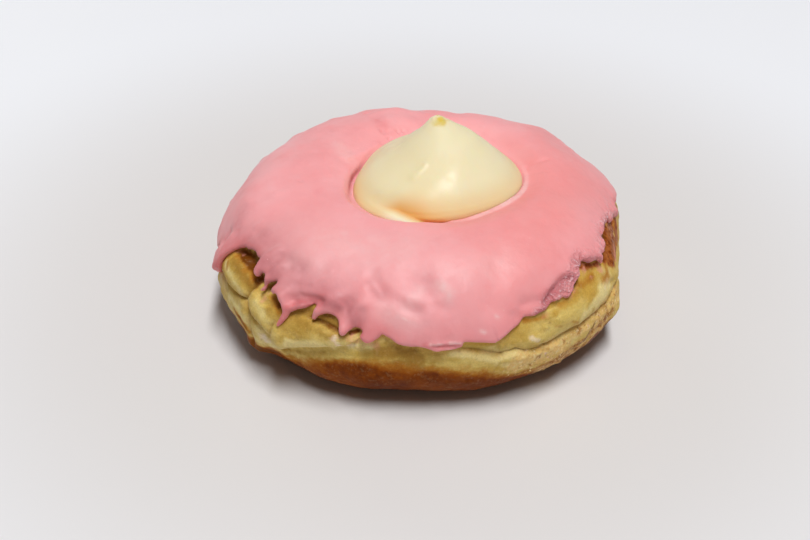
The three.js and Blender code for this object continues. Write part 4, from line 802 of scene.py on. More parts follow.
def field_maps():
    """Maps over (angle, place on the profile): the coat's inner face, its thickness and the distance to its edge."""
    nt, ds = 1440, 0.24
    deg = -180 + np.arange(nt) * 360.0 / nt
    s = np.arange(S_WAIST - 6, S_INNER + 6, ds)
    dd, ss = np.meshgrid(deg, s, indexing="ij")
    p = surface(np.radians(dd), ss)
    edge = np.array(EDGE_FRONT + [(a, float(s_of_height(z))) for a, z in EDGE_BACK], float)
    edge = np.vstack([edge, edge[:1] + [360, 0]])
    turns = np.vstack([edge[:-1] - [360, 0], edge[:-1], edge + [360, 0]])
    ex, es = np.radians(turns[:, 0]) * UNROLL, turns[:, 1]
    px = np.radians(dd) * UNROLL
    best = np.full(px.shape, 1e9)
    crossed = np.zeros(px.shape, np.int64)
    lowest = np.full(nt, 1e9)
    for i in range(len(ex) - 1):
        xa, xb = min(ex[i], ex[i + 1]), max(ex[i], ex[i + 1])
        if xb < px.min() - 8 or xa > px.max() + 8:
            continue
        cols = np.where((px[:, 0] > xa - 7) & (px[:, 0] < xb + 7))[0]
        if not len(cols):
            continue
        c = slice(cols[0], cols[-1] + 1)
        vx, vy = ex[i + 1] - ex[i], es[i + 1] - es[i]
        t = np.clip(((px[c] - ex[i]) * vx + (ss[c] - es[i]) * vy) / max(vx * vx + vy * vy, 1e-9), 0, 1)
        best[c] = np.minimum(best[c], np.hypot(px[c] - ex[i] - t * vx, ss[c] - es[i] - t * vy))
        over = np.where((px[:, 0] >= xa) & (px[:, 0] < xb))[0]
        if len(over) and abs(vx) > 1e-9:
            at = es[i] + (px[over, 0] - ex[i]) / vx * vy
            crossed[over] += ss[over] > at[:, None]
            lowest[over] = np.minimum(lowest[over], at)
    inside = crossed % 2 == 1
    level = blur_round(lowest, 14)[:, None] + 1.2
    best = np.minimum(best, 7)
    # beyond 7 mm from the edge the distance grows with the height above it
    dist = np.where(inside, -np.maximum(best, np.where(best > 6.5, ss - level, 0)), best)
    dist = np.maximum(dist, ss - S_INNER)
    raw = smooth(-62, -50, dd) * (1 - smooth(3, 14, dd)) + 0.5 * smooth(-116, -110, dd) * (1 - smooth(-80, -74, dd)) + 0.45 * smooth(18, 30, dd) + 0.3 * smooth(-165, -150, dd) * (1 - smooth(-122, -112, dd))
    raw = np.clip(raw, 0, 1)
    dist = dist + raw * bump(dist, 2.5) * (0.42 * noise(p, 1.7, 211) + 0.26 * noise(p, 0.9, 212))
    body = blur_up(blur_round(inside.astype(float), 5), 5)  # under a half on a narrow tooth, a half at a straight edge

    far = np.clip(-dist, 0, 12)
    lumps = dough_lumps(dd, ss, p)
    form, _, _, _, _ = dough_form(dd, ss)
    form = np.clip(form, -0.35, 1.6)
    inner = lumps + form * (1 - smooth(4, 12, ss - level)) - 0.25
    loose = sum(mm * bump(wrap(dd - a), w) for a, w, mm in LOOSE)
    loose = loose * (1 - 0.7 * bump(wrap(dd + 129), 2.2) * (1 - smooth(66, 70, ss)))
    inner += np.clip(loose, 0, 1.2) * np.exp(-((far / 3.0) ** 1.5))
    thick = 1.75 + 0.35 * smooth(6, 20, ss - level)
    front = bump(wrap(dd + 84), 22)
    thick *= 1 - (1 - 0.75 * front) * 0.42 * (1 - smooth(0.2, 0.75, body))
    # lumps, dents and drag marks
    rim_side = 1 - 0.6 * bump(wrap(dd - 180), 24) * (1 - smooth(10, 22, ss - level))
    rise = 0.30 * noise(p, 11, 201) + 0.19 * noise(p, 6.2, 202) * (0.7 + 0.4 * bump(wrap(dd + 92), 48)) + 0.09 * noise(p, 3.0, 203) + 0.04 * noise(p, 1.5, 206)
    thick += rise * rim_side * (1 - smooth(S_CROWN + 8, S_CROWN + 20, ss))
    ang = np.radians(dd)
    run = np.stack([np.cos(ang) * 50, np.sin(ang) * 50, ss * 0.28], -1)
    drag = np.clip(1 - (ss - level) / 15, 0, 1)
    left = bump(wrap(dd + 128), 34)
    thick += drag * rim_side * (0.2 + 0.5 * left) * (0.30 * noise(run, 3.2, 204) + 0.2 * noise(run, 1.8, 205))
    flat = p.reshape(-1, 3)
    marks = np.zeros(flat.shape[0])
    for line, amount, width in DRAGS:
        idx, d = near_line(flat, line, 3.0 * width)
        marks[idx] += amount * bump(d, width)
    thick += marks.reshape(ss.shape)
    thick += raw * np.exp(-((far / 2.8) ** 1.5)) * (0.42 * noise(p, 1.6, 213) + 0.26 * noise(p, 0.85, 214)) * (0.35 + 0.65 * smooth(-62, -50, dd) * (1 - smooth(3, 14, dd)))
    for (ra, rh), (ta, tz), r0, r1, off, up in PEAKS:
        if up:
            x0, y0 = math.radians(ra) * UNROLL, float(s_of_height(rh))
            dx, dy = math.radians(wrap(ra - ta)) * UNROLL, float(s_of_height(rh) - s_of_height(tz))
            ll = math.hypot(dx, dy)
            dx, dy = dx / ll * 0.55, 0.85
            ll = math.hypot(dx, dy)
            dx, dy = dx / ll, dy / ll
            qx, qy = np.radians(wrap(dd - ra)) * UNROLL, ss - y0
            along = qx * dx + qy * dy
            across = qx * dy - qy * dx
            w = 1.15 + 0.09 * np.clip(along, 0, None)
            thick += 0.75 * r0 * bump(across, w) * smooth(-2.5, 0.5, along) * (1 - smooth(0.25 * up, up * 1.25, along)) * 0.8
    # a ring pushed up round the cream: a thin bright lip at the front right, a gap left open at the left
    ring = off_cream(dd, ss)
    thick += 0.9 * bump(ring + 0.2, 1.7) * bump(wrap(dd + 44), 44) + 0.35 * bump(ring - 0.7, 0.7) * bump(wrap(dd + 42), 38) + 0.2 * bump(ring - 0.4, 1.4) * bump(wrap(dd - 50), 50) + 0.3 * bump(ring - 1.7, 0.8) * bump(wrap(dd + 165), 30)
    thick -= 1.3 * bump(ring + 0.6, 0.75) * bump(wrap(dd + 178), 24)
    sunk = np.interp(wrap(dd), [-180, -175, -165, -155, -145, -135, -120, -110, -100, -91, -86, -82, -78], [0.0, 0.3, 0.7, 1.2, 1.6, 1.45, 1.1, 0.95, 1.0, 0.9, 0.6, 0.1, 0.0])
    thick -= sunk * (1 - smooth(-0.4, 2.8, ring))
    thick = np.clip(thick, 0.7, 3.8)
    return dict(deg=deg, s=s, inner=inner, thick=thick, dist=dist, level=level[:, 0])


def sample(m, key, deg, s):
    nt, ds = len(m["deg"]), m["s"][1] - m["s"][0]
    u = (np.asarray(deg) + 180) / 360 * nt
    v = np.clip((s - m["s"][0]) / ds, 0, len(m["s"]) - 1.001)
    i, j = np.floor(u).astype(int), v.astype(int)
    fu, fv = u - i, v - j
    i, i1 = i % nt, (i + 1) % nt
    a = m[key]
    return (a[i, j] * (1 - fv) + a[i, j + 1] * fv) * (1 - fu) + (a[i1, j] * (1 - fv) + a[i1, j + 1] * fv) * fu


def plane_to_form(x, y):
    """Angle and profile radius over a point of the plan."""
    r = np.hypot(x, y)
    th = np.arctan2(y, x)
    for _ in range(6):
        inner = 1 - smooth(20, 44, r)
        dx, dy = x - BOWL_X * inner, y - BOWL_Y * inner
        th = np.arctan2(dy, dx)
        k = 1 + (outline(th) - 1) * smooth(20, 46, r)
        r = np.hypot(dx, dy) / k
    return th, r


def profile_field(rs, zs):
    """Signed distance to the profile and the place of the nearest point on it, for a grid of (r, z)."""
    q = PQ[I_FLAT::6]
    s = PS[I_FLAT::6]
    n = PN[I_FLAT::6]
    dist = np.zeros((len(rs), len(zs)), np.float32)
    place = np.zeros((len(rs), len(zs)), np.float32)
    for a in range(len(rs)):
        dr = rs[a] - q[None, :, 0]
        dz = zs[:, None] - q[None, :, 1]
        d2 = dr * dr + dz * dz
        k = d2.argmin(1)
        rows = np.arange(len(zs))
        normal = dr[0, k] * n[k, 0] + dz[rows, k] * n[k, 1]
        dist[a] = np.sign(normal + 1e-9) * np.sqrt(d2[rows, k])
        along = dr[0, k] * -n[k, 1] + dz[rows, k] * n[k, 0]
        place[a] = s[k] + np.clip(along, -0.2, 0.2)
    return dist, place


def surface_net(field, origin, step):
    """A closed quad mesh on the zero level of a field that is negative inside."""
    f = field
    inside = f < 0
    nx, ny, nz = f.shape
    corner = np.zeros((nx - 1, ny - 1, nz - 1), np.uint8)
    for dx in (0, 1):
        for dy in (0, 1):
            for dz in (0, 1):
                corner += inside[dx : nx - 1 + dx, dy : ny - 1 + dy, dz : nz - 1 + dz]
    cells = (corner > 0) & (corner < 8)
    ids = np.full(cells.shape, -1, np.int64)
    ci = np.argwhere(cells)
    ids[cells] = np.arange(len(ci))
    total = np.zeros((len(ci), 3))
    count = np.zeros(len(ci))
    for axis in range(3):
        others = [k for k in range(3) if k != axis]
        for da in (0, 1):
            for db in (0, 1):
                lo = ci.copy()
                lo[:, others[0]] += da
                lo[:, others[1]] += db
                hi = lo.copy()
                hi[:, axis] += 1
                fa, fb = f[tuple(lo.T)], f[tuple(hi.T)]
                cross = (fa < 0) != (fb < 0)
                t = np.where(cross, fa / np.where(cross, fa - fb, 1), 0)
                at = (lo - ci).astype(float)
                at[:, axis] += t
                total += np.where(cross[:, None], at, 0)
                count += cross
    verts = (ci + total / count[:, None]) * step + origin
    faces = []
    for axis in range(3):
        others = [(axis + 1) % 3, (axis + 2) % 3]
        lo = [slice(None)] * 3
        hi = [slice(None)] * 3
        lo[axis], hi[axis] = slice(0, f.shape[axis] - 1), slice(1, f.shape[axis])
        a, b = inside[tuple(lo)], inside[tuple(hi)]
        change = np.argwhere(a != b)
        ok = (change[:, others[0]] > 0) & (change[:, others[1]] > 0) & (change[:, others[0]] < f.shape[others[0]] - 1) & (change[:, others[1]] < f.shape[others[1]] - 1)
        change = change[ok]
        flip = ~a[tuple(change.T)]
        quad = []
        for du, dv in ((0, 0), (-1, 0), (-1, -1), (0, -1)):
            c = change.copy()
            c[:, others[0]] += du
            c[:, others[1]] += dv
            quad.append(ids[tuple(c.T)])
        quad = np.stack(quad, -1)
        quad[flip] = quad[flip][:, ::-1]
        faces.append(quad)
    return verts, np.vstack(faces)


def relax(verts, faces, rounds, share, keep=None):
    """Evens a mesh out, with no shrinking: each pass moves points to their neighbours' mean, then most of the way back."""
    e = np.vstack([faces[:, [0, 1]], faces[:, [1, 2]], faces[:, [2, 3]], faces[:, [3, 0]]])
    n = len(verts)
    for k in range(rounds * 2):
        f = share if k % 2 == 0 else -share * 1.04
        acc = np.zeros_like(verts)
        cnt = np.zeros(n)
        for a, b in ((0, 1), (1, 0)):
            for c in range(3):
                acc[:, c] += np.bincount(e[:, a], weights=verts[e[:, b], c], minlength=n)
            cnt += np.bincount(e[:, a], minlength=n)
        verts = verts + f * (acc / np.maximum(cnt, 1)[:, None] - verts)
    return verts


def build_icing():
    maps = field_maps()
    step = 0.37
    lo, hi = np.array([-57.0, -54.0, 13.0]), np.array([54.5, 55.0, 41.5])
    n = np.ceil((hi - lo) / step).astype(int)
    xs, ys, zs = (lo[k] + np.arange(n[k]) * step for k in range(3))
    gx, gy = np.meshgrid(xs, ys, indexing="ij")
    th, r = plane_to_form(gx, gy)
    rs = np.arange(0, 62, 0.2)
    dist, place = profile_field(rs, zs)
    u = np.clip(r / 0.2, 0, len(rs) - 1.001)
    i, f = u.astype(int), (u % 1)[..., None].astype(np.float32)
    h = dist[i] * (1 - f) + dist[i + 1] * f
    s = place[i] * (1 - f) + place[i + 1] * f
    jump = np.abs(place[i + 1] - place[i]) > 2  # over the middle of a concave bend the nearest place jumps: take one side
    s = np.where(jump, place[i], s)
    field = np.full(h.shape, 3.0, np.float32)
    near = (h > -3.0) & (h < 5.8) & (s > S_WAIST - 4) & (s < S_INNER + 5)
    idx = np.nonzero(near)
    hh, sv = h[near], s[near]
    dg = np.degrees(th)[idx[0], idx[1]]
    inner, thick, edge = (sample(maps, k, dg, sv) for k in ("inner", "thick", "dist"))
    half = thick / 2
    dy = np.abs(hh - inner - half) - half
    rr = np.minimum(half, 0.85)
    a, b = edge + rr, dy + rr
    coat = np.minimum(np.maximum(a, b), 0) + np.hypot(np.maximum(a, 0), np.maximum(b, 0)) - rr
    field[near] = coat
    # the pulled peaks: bent, tapered fingers that grow out of the coat's edge
    for (ra, rh), (ta, tz), r0, r1, off, up in PEAKS:
        steps = np.linspace(0, 1, 9)
        ang = np.radians(ra + wrap(ta - ra) * steps)
        ss = s_of_height(rh) + (s_of_height(tz) - s_of_height(rh)) * steps
        form = np.array([sample(maps, "inner", np.array([np.degrees(a0)]), np.array([s0]))[0] for a0, s0 in zip(ang, ss)])
        lift = form + 0.25 + 0.95 * (1 - steps) + (off - 0.1) * steps + 0.35 * np.sin(np.pi * steps) * off
        pts = surface(ang, ss, lift)
        rad = r0 + (r1 - r0) * steps**0.75
        blo = np.floor((pts.min(0) - 3.2 - lo) / step).astype(int).clip(0)
        bhi = np.minimum(np.ceil((pts.max(0) + 3.2 - lo) / step).astype(int), n)
        sub = tuple(slice(blo[k], bhi[k]) for k in range(3))
        grid = np.stack(np.meshgrid(xs[sub[0]], ys[sub[1]], zs[sub[2]], indexing="ij"), -1)
        finger = np.full(grid.shape[:3], 9.0)
        for k in range(len(steps) - 1):
            pa, pb = pts[k], pts[k + 1]
            ab = pb - pa
            t = np.clip(((grid - pa) @ ab) / (ab @ ab), 0, 1)
            d = np.linalg.norm(grid - pa - t[..., None] * ab, axis=-1) - (rad[k] + (rad[k + 1] - rad[k]) * t)
            finger = np.minimum(finger, d)
        old = field[sub]
        k = 0.9
        m = np.clip(0.5 + 0.5 * (old - finger) / k, 0, 1)
        field[sub] = old * (1 - m) + finger * m - k * m * (1 - m)
    verts, faces = surface_net(field, lo, step)
    verts = relax(verts, faces, 2, 0.5)
    # keep the largest piece
    label = np.arange(len(verts))
    while True:
        low = label[faces].min(1)
        new = label.copy()
        for c in range(4):
            np.minimum.at(new, faces[:, c], low)
        new = new[new]
        if (new == label).all():
            break
        label = new
    main = np.bincount(label).argmax()
    keep = label == main
    remap = np.cumsum(keep) - 1
    faces = remap[faces[keep[faces[:, 0]]]]
    verts = verts[keep]
    obj = new_mesh("icing_coat", verts, faces)

    th, r = plane_to_form(verts[:, 0], verts[:, 1])
    i = np.clip(r / 0.2, 0, len(rs) - 1.001)
    zi = np.clip((verts[:, 2] - zs[0]) / step, 0, len(zs) - 1.001)
    s = place[i.astype(int), zi.astype(int)]
    deg = np.degrees(th)
    edge = -sample(maps, "dist", deg, s)
    thick = sample(maps, "thick", deg, s)
    above = s - np.interp(deg, maps["deg"], maps["level"], period=360)
    low = 1 - smooth(0.2, 2.6, edge)
    thin = 1 - smooth(1.2, 2.0, thick)
    torn = bump(wrap(deg + 44), 9) * (1 - smooth(1.5, 4.0, edge)) + 0.8 * bump(wrap(deg + 14), 16) * (1 - smooth(0.6, 2.2, edge))
    bloom = np.clip(0.5 + 0.5 * fractal(verts, 7, 301, 3), 0, 1)
    paint(obj, "zones", np.stack([low, thin, torn, bloom], -1))
    # painted shade: the coat's left front near its edge, turned from the light, is made darker and greyer (the coat
    # there is thin too)
    side = bump(wrap(deg + 138), 22) * (1 - smooth(6, 16, above))
    skirt = 1 - smooth(0, 7, above)
    coral = np.clip(bump(wrap(deg + 26), 50) * smooth(-2, 14, above), 0, 1)
    paint(obj, "more", np.stack([side, np.clip(thick / 3.6, 0, 1), skirt, coral], -1))
    flat = surface(np.radians(deg), s)
    tint = {k: np.zeros(len(verts)) for k in ("mauve_thin_and_shade", "rose", "pale", "lilac_crumbs_and_glints")}
    ragged = 0.30 * fractal(flat, 4.5, 311, 3) + 0.16 * fractal(flat, 1.6, 312, 2)
    for kind, line, width, strength in TINTS:
        idx, d = near_line(flat, line, 2.4 * width + 0.6)
        u = np.clip(d / (1.15 * width) + ragged[idx], 0, None)
        tint[kind][idx] = np.maximum(tint[kind][idx], strength * np.exp(-(u**1.8)))
    ring = np.where(s > S_CROWN, off_cream(deg, s), 9.0)
    # painted highlight: the lip of coat pushed up round the cream's front right, pale as if lit from above
    tint["pale"] = np.maximum(tint["pale"], np.clip(1.7 * bump(ring - 1.0, 0.52), 0, 1) * bump(wrap(deg + 38), 42))
    # painted shade: dark lines in the crack between the coat and the cream's foot, at the left and at the front right
    tint["mauve_thin_and_shade"] = np.maximum(tint["mauve_thin_and_shade"], bump(ring + 0.25, 0.6) * bump(wrap(deg + 178), 24))
    tint["mauve_thin_and_shade"] = np.maximum(tint["mauve_thin_and_shade"], 0.8 * bump(ring - 0.3, 0.3) * bump(wrap(deg + 30), 34))
    paint(obj, "tint", np.stack([tint[k] for k in ("mauve_thin_and_shade", "rose", "pale", "lilac_crumbs_and_glints")], -1))
    return obj


# ------------------------------------------------------------------------------------------------- cream
# The dollop from its foot in the bowl to its tip: (radius, height, middle's x, middle's y).
CREAM = [
    (0.2, 26.35, 3.8, 3.4), (12.3, 26.45, 3.8, 3.4), (14.3, 27.5, 3.8, 3.4), (16.4, 29.4, 3.8, 3.3), (18.4, 31.1, 3.7, 3.1), (20.2, 31.7, 3.4, 2.9), (21.35, 32.4, 3.1, 2.8), (21.85, 33.0, 2.92, 2.75),
    (21.95, 33.8, 2.95, 2.65), (21.7, 34.8, 3.0, 2.55), (21.0, 35.75, 3.05, 2.48), (19.85, 36.75, 3.1, 2.4), (17.6, 38.6, 3.28, 2.35), (14.19, 41.0, 3.8, 2.4), (10.98, 43.5, 4.4, 2.72), (7.91, 46.0, 4.5, 3.05),
    (4.68, 48.2, 3.9, 3.6), (2.23, 50.0, 3.2, 4.2), (1.2, 50.8, 3.0, 4.35), (0.2, 51.35, 2.9, 4.4),
]
CREAM_FOOT, CREAM_TIP = 33.5, 51.4


# Soft ridges on the cream: line [(angle, height)], mm, half-width in mm, how wet.
SWIRLS = [
    ([(-84, 40.5), (-79.5, 41.2), (-75, 41.9)], 0.0, 1.5, 0.8), ([(-94, 39.6), (-88, 40.1)], 0.0, 1.3, 0.25), ([(-74, 38.0), (-68, 40.6), (-62, 43.4)], 0.15, 2.8, 0.0),
    ([(-118.6, 41.6), (-116.2, 42.5), (-113.8, 43.3)], 0.26, 1.05, 0.0), ([(-115.4, 42.5), (-113.4, 43.0), (-111.8, 43.5)], 0.0, 0.8, 0.75), ([(-134, 37.9), (-128.4, 38.7), (-122.4, 39.2)], 0.16, 1.3, 1.0),
    ([(-104, 41.2), (-98, 43.2), (-92, 45.6)], -0.08, 1.6, 0.0), ([(150, 40.0), (165, 41.5), (178, 43.2)], 0.16, 1.6, 0.6), ([(60, 39.5), (76, 41.2), (90, 43.0)], 0.16, 1.6, 0.6),
]


def build_cream():
    c = np.array(CREAM, float)
    length = np.r_[0, np.cumsum(np.hypot(np.diff(c[:, 0]), np.diff(c[:, 1])))]
    nv, nt = 190, 300
    v = np.concatenate([np.linspace(0.005, 0.38, 30, endpoint=False), np.linspace(0.38, 0.995, nv - 30)]) * length[-1]
    r, z, cx, cy = (ease_curve(length, c[:, k], v) for k in range(4))
    a = np.arange(nt) / nt * 2 * np.pi
    th, rr = np.meshgrid(a, r, indexing="ij")
    _, zz = np.meshgrid(a, z, indexing="ij")
    deg = wrap(np.degrees(th))
    low = np.clip((CREAM_TIP - zz) / (CREAM_TIP - CREAM_FOOT), 0, 1)
    out = smooth(32.0, 33.6, zz)
    shape = (-0.038 * low + 0.029 * (1 - low)) * np.cos(2 * th) + (0.026 * low - 0.008 * (1 - low)) * np.sin(2 * th) + low * (0.041 * np.cos(3 * th) - 0.040 * np.sin(3 * th))
    rr = rr * (1 + out * shape)
    tilt = low * (0.82 * np.cos(th) - 1.16 * np.sin(th)) * out
    # the first turn's lap at the front left: a thin tongue that runs out to the right, the cream above it drawn in
    line = np.interp(deg, [-160, -150, -135, -127, -118, -110.5, -105.5, -100.5, -92, -80], [36.3, 36.3, 36.1, 36.0, 35.75, 35.15, 34.65, 34.0, 32.6, 31.5])
    over = zz - line
    tongue = smooth(-150, -124, deg) * (1 - smooth(-103, -98, deg)) * (1 - smooth(-0.3, 0.15, over)) * smooth(-3.2, -1.0, over)
    groove = smooth(-136, -114, deg) * (1 - smooth(-94, -74, deg)) * smooth(-0.2, 0.25, over) * np.exp(-((np.clip(over, 0, None) / 1.7) ** 1.5))
    rr = rr + 0.4 * tongue - 1.3 * groove + (0.45 * bump(wrap(deg + 104), 18) * (1 - smooth(34.4, 35.8, zz)) + 0.4 * bump(wrap(deg + 139), 12) * (1 - smooth(34.8, 37.2, zz))) * out
    # a soft ridge that the nozzle left as it turned
    turn = ((deg + 150) / 360.0) % 1.0
    rr = rr + 0.12 * bump(zz - (38.6 + 6.5 * turn), 1.8) * smooth(0, 0.12, turn) * (1 - smooth(0.75, 0.98, turn)) - 0.12 * bump(zz - (41.4 + 6.5 * turn), 1.6) * smooth(0, 0.12, turn) * (1 - smooth(0.75, 0.98, turn))
    x = cx[None] + rr * np.cos(th)
    y = cy[None] + rr * np.sin(th)
    p = np.stack([x, y, zz + tilt], -1)
    soft = 0.16 * noise(p, 9, 401) + 0.05 * noise(p, 4, 402)
    # soft ridges that run up and round, left by the nozzle; they carry the wet highlights
    gloss = np.zeros(zz.shape)
    for line2, amount, width, shine in SWIRLS:
        line2 = np.array(line2, float)
        around = np.radians(deg) * 15.0
        best = np.full(zz.shape, 1e9)
        for (d0, z0), (d1, z1) in zip(line2, line2[1:]):
            x0, x1 = math.radians(d0) * 15.0, math.radians(d1) * 15.0
            k0 = np.clip(((around - x0) * (x1 - x0) + (zz - z0) * 1.6 * (z1 - z0) * 1.6) / ((x1 - x0) ** 2 + ((z1 - z0) * 1.6) ** 2), 0, 1)
            best = np.minimum(best, np.hypot(around - x0 - k0 * (x1 - x0), (zz - z0 - k0 * (z1 - z0)) * 1.6))
        soft = soft + amount * bump(best, width)
        gloss = np.maximum(gloss, shine * np.exp(-((best / (1.3 * width)) ** 2)))
    nrm = np.stack([np.cos(th) * 0.6, np.sin(th) * 0.6, 0.8 + 0 * th], -1)
    p = p + nrm * (soft * out * smooth(0, 3, rr))[..., None]
    nub = bump(zz - 50.9, 0.9)
    p[..., 0] += 0.28 * nub * noise(p, 0.9, 403) * np.minimum(rr, 1)
    p[..., 1] += 0.28 * nub * noise(p, 0.9, 404) * np.minimum(rr, 1)

    verts = p.reshape(-1, 3)
    i, j = np.meshgrid(np.arange(nt), np.arange(nv - 1), indexing="ij")
    i2 = (i + 1) % nt
    faces = np.stack([i * nv + j, i2 * nv + j, i2 * nv + j + 1, i * nv + j + 1], -1).reshape(-1, 4).tolist()
    foot, tip = len(verts), len(verts) + 1
    verts = np.vstack([verts, [[cx[0], cy[0], z[0]], [cx[-1], cy[-1], 51.38]]])
    for q in range(nt):
        q2 = (q + 1) % nt
        faces.append([foot, q2 * nv, q * nv])
        faces.append([tip, q * nv + nv - 1, q2 * nv + nv - 1])
    obj = new_mesh("cream_dollop", verts, faces)
    # painted shade: the groove under the lap is tinted orange
    deep = smooth(-132, -114, deg) * (1 - smooth(-92, -74, deg)) * smooth(-0.2, 0.2, over) * np.exp(-((np.clip(over, 0, None) / (1.4 + 2.3 * smooth(-128, -100, deg))) ** 2))
    deep = np.clip(deep, 0, 1)
    crust = smooth(49.4, 50.1, zz + 0.5 * noise(p, 1.2, 405)) * bump(wrap(deg + 62), 62) * (1 - smooth(50.9, 51.3, zz))
    # painted bounce light and shade: the cream's foot, and its left edge, tinted orange-peach
    foot_bounce_and_shade = (1 - smooth(34.5, 40.5, zz)) * (0.3 + 0.7 * bump(wrap(deg + 76), 62)) + 0.75 * (1 - smooth(34.5, 38.5, zz)) * bump(wrap(deg + 160), 24)
    # painted highlight: the tongue's top is paler, as if lit from above
    tongue = tongue * smooth(-128, -114, deg)
    data = np.stack([deep, crust, np.clip(foot_bounce_and_shade, 0, 1) * (1 - 0.7 * tongue), tongue], -1).reshape(-1, 4)
    paint(obj, "zones", np.vstack([data, [[0, 0, 0, 0]], [[0, 1, 0, 0]]]))
    wet = np.stack([gloss, smooth(43, 48, zz)], -1).reshape(-1, 2)
    paint(obj, "wet", np.vstack([wet, [[0, 0]], [[0, 1]]]))
    return obj


# ------------------------------------------------------------------------------------------------- materials
def lin(r, g, b):
    return tuple((v / 255 / 12.92 if v / 255 <= 0.04045 else ((v / 255 + 0.055) / 1.055) ** 2.4) for v in (r, g, b)) + (1.0,)


class Nodes:
    """Short calls for building a material's node tree."""

    def __init__(self, name):
        self.mat = bpy.data.materials.new(name)
        self.mat.use_nodes = True
        self.t = self.mat.node_tree
        self.t.nodes.clear()
        self.out = self.t.nodes.new("ShaderNodeOutputMaterial")
        self.bsdf = self.t.nodes.new("ShaderNodeBsdfPrincipled")
        self.t.links.new(self.bsdf.outputs[0], self.out.inputs[0])
        self.coord = self.t.nodes.new("ShaderNodeTexCoord").outputs["Object"]

    def put(self, socket, value):
        if hasattr(value, "is_linked") or isinstance(value, bpy.types.NodeSocket):
            self.t.links.new(value, socket)
        else:
            socket.default_value = value

    def attr(self, name):
        n = self.t.nodes.new("ShaderNodeVertexColor")
        n.layer_name = name
        s = self.t.nodes.new("ShaderNodeSeparateColor")
        self.t.links.new(n.outputs["Color"], s.inputs[0])
        return s.outputs[0], s.outputs[1], s.outputs[2], n.outputs["Alpha"]

    def noise(self, scale, detail=2.0, rough=0.5, distortion=0.0, stretch=None):
        n = self.t.nodes.new("ShaderNodeTexNoise")
        n.inputs["Scale"].default_value = scale
        n.inputs["Detail"].default_value = detail
        n.inputs["Roughness"].default_value = rough
        n.inputs["Distortion"].default_value = distortion
        src = self.coord
        if stretch:
            m = self.t.nodes.new("ShaderNodeMapping")
            m.inputs["Scale"].default_value = stretch
            self.t.links.new(src, m.inputs[0])
            src = m.outputs[0]
        self.t.links.new(src, n.inputs["Vector"])
        return n.outputs[0]

    def voronoi(self, scale, feature="F1", randomness=1.0):
        n = self.t.nodes.new("ShaderNodeTexVoronoi")
        n.feature = feature
        n.inputs["Scale"].default_value = scale
        n.inputs["Randomness"].default_value = randomness
        self.t.links.new(self.coord, n.inputs["Vector"])
        return n.outputs["Distance"]

    def math(self, op, a, b=None, clamp=False):
        n = self.t.nodes.new("ShaderNodeMath")
        n.operation = op
        n.use_clamp = clamp
        self.put(n.inputs[0], a)
        if b is not None:
            self.put(n.inputs[1], b)
        return n.outputs[0]

    def ramp(self, value, lo, hi, a=0.0, b=1.0):
        n = self.t.nodes.new("ShaderNodeMapRange")
        n.interpolation_type = "SMOOTHSTEP"
        self.put(n.inputs["Value"], value)
        n.inputs["From Min"].default_value = lo
        n.inputs["From Max"].default_value = hi
        n.inputs["To Min"].default_value = a
        n.inputs["To Max"].default_value = b
        return n.outputs[0]

    def mix(self, factor, a, b, blend="MIX"):
        n = self.t.nodes.new("ShaderNodeMix")
        n.data_type = "RGBA"
        n.blend_type = blend
        n.clamp_factor = True
        self.put(n.inputs[0], factor)
        self.put(n.inputs[6], a)
        self.put(n.inputs[7], b)
        return n.outputs[2]

    def bump(self, height, strength, distance, normal=None):
        n = self.t.nodes.new("ShaderNodeBump")
        n.inputs["Strength"].default_value = strength
        n.inputs["Distance"].default_value = distance
        self.put(n.inputs["Height"], height)
        if normal is not None:
            self.t.links.new(normal, n.inputs["Normal"])
        return n.outputs[0]

    def set(self, **values):
        names = {"color": "Base Color", "rough": "Roughness", "normal": "Normal", "sss": "Subsurface Weight", "sss_scale": "Subsurface Scale", "sss_radius": "Subsurface Radius",
                 "specular": "Specular IOR Level", "coat": "Coat Weight", "coat_rough": "Coat Roughness", "ior": "IOR", "sheen": "Sheen Weight"}
        for k, v in values.items():
            self.put(self.bsdf.inputs[names[k]], v)
        return self.mat


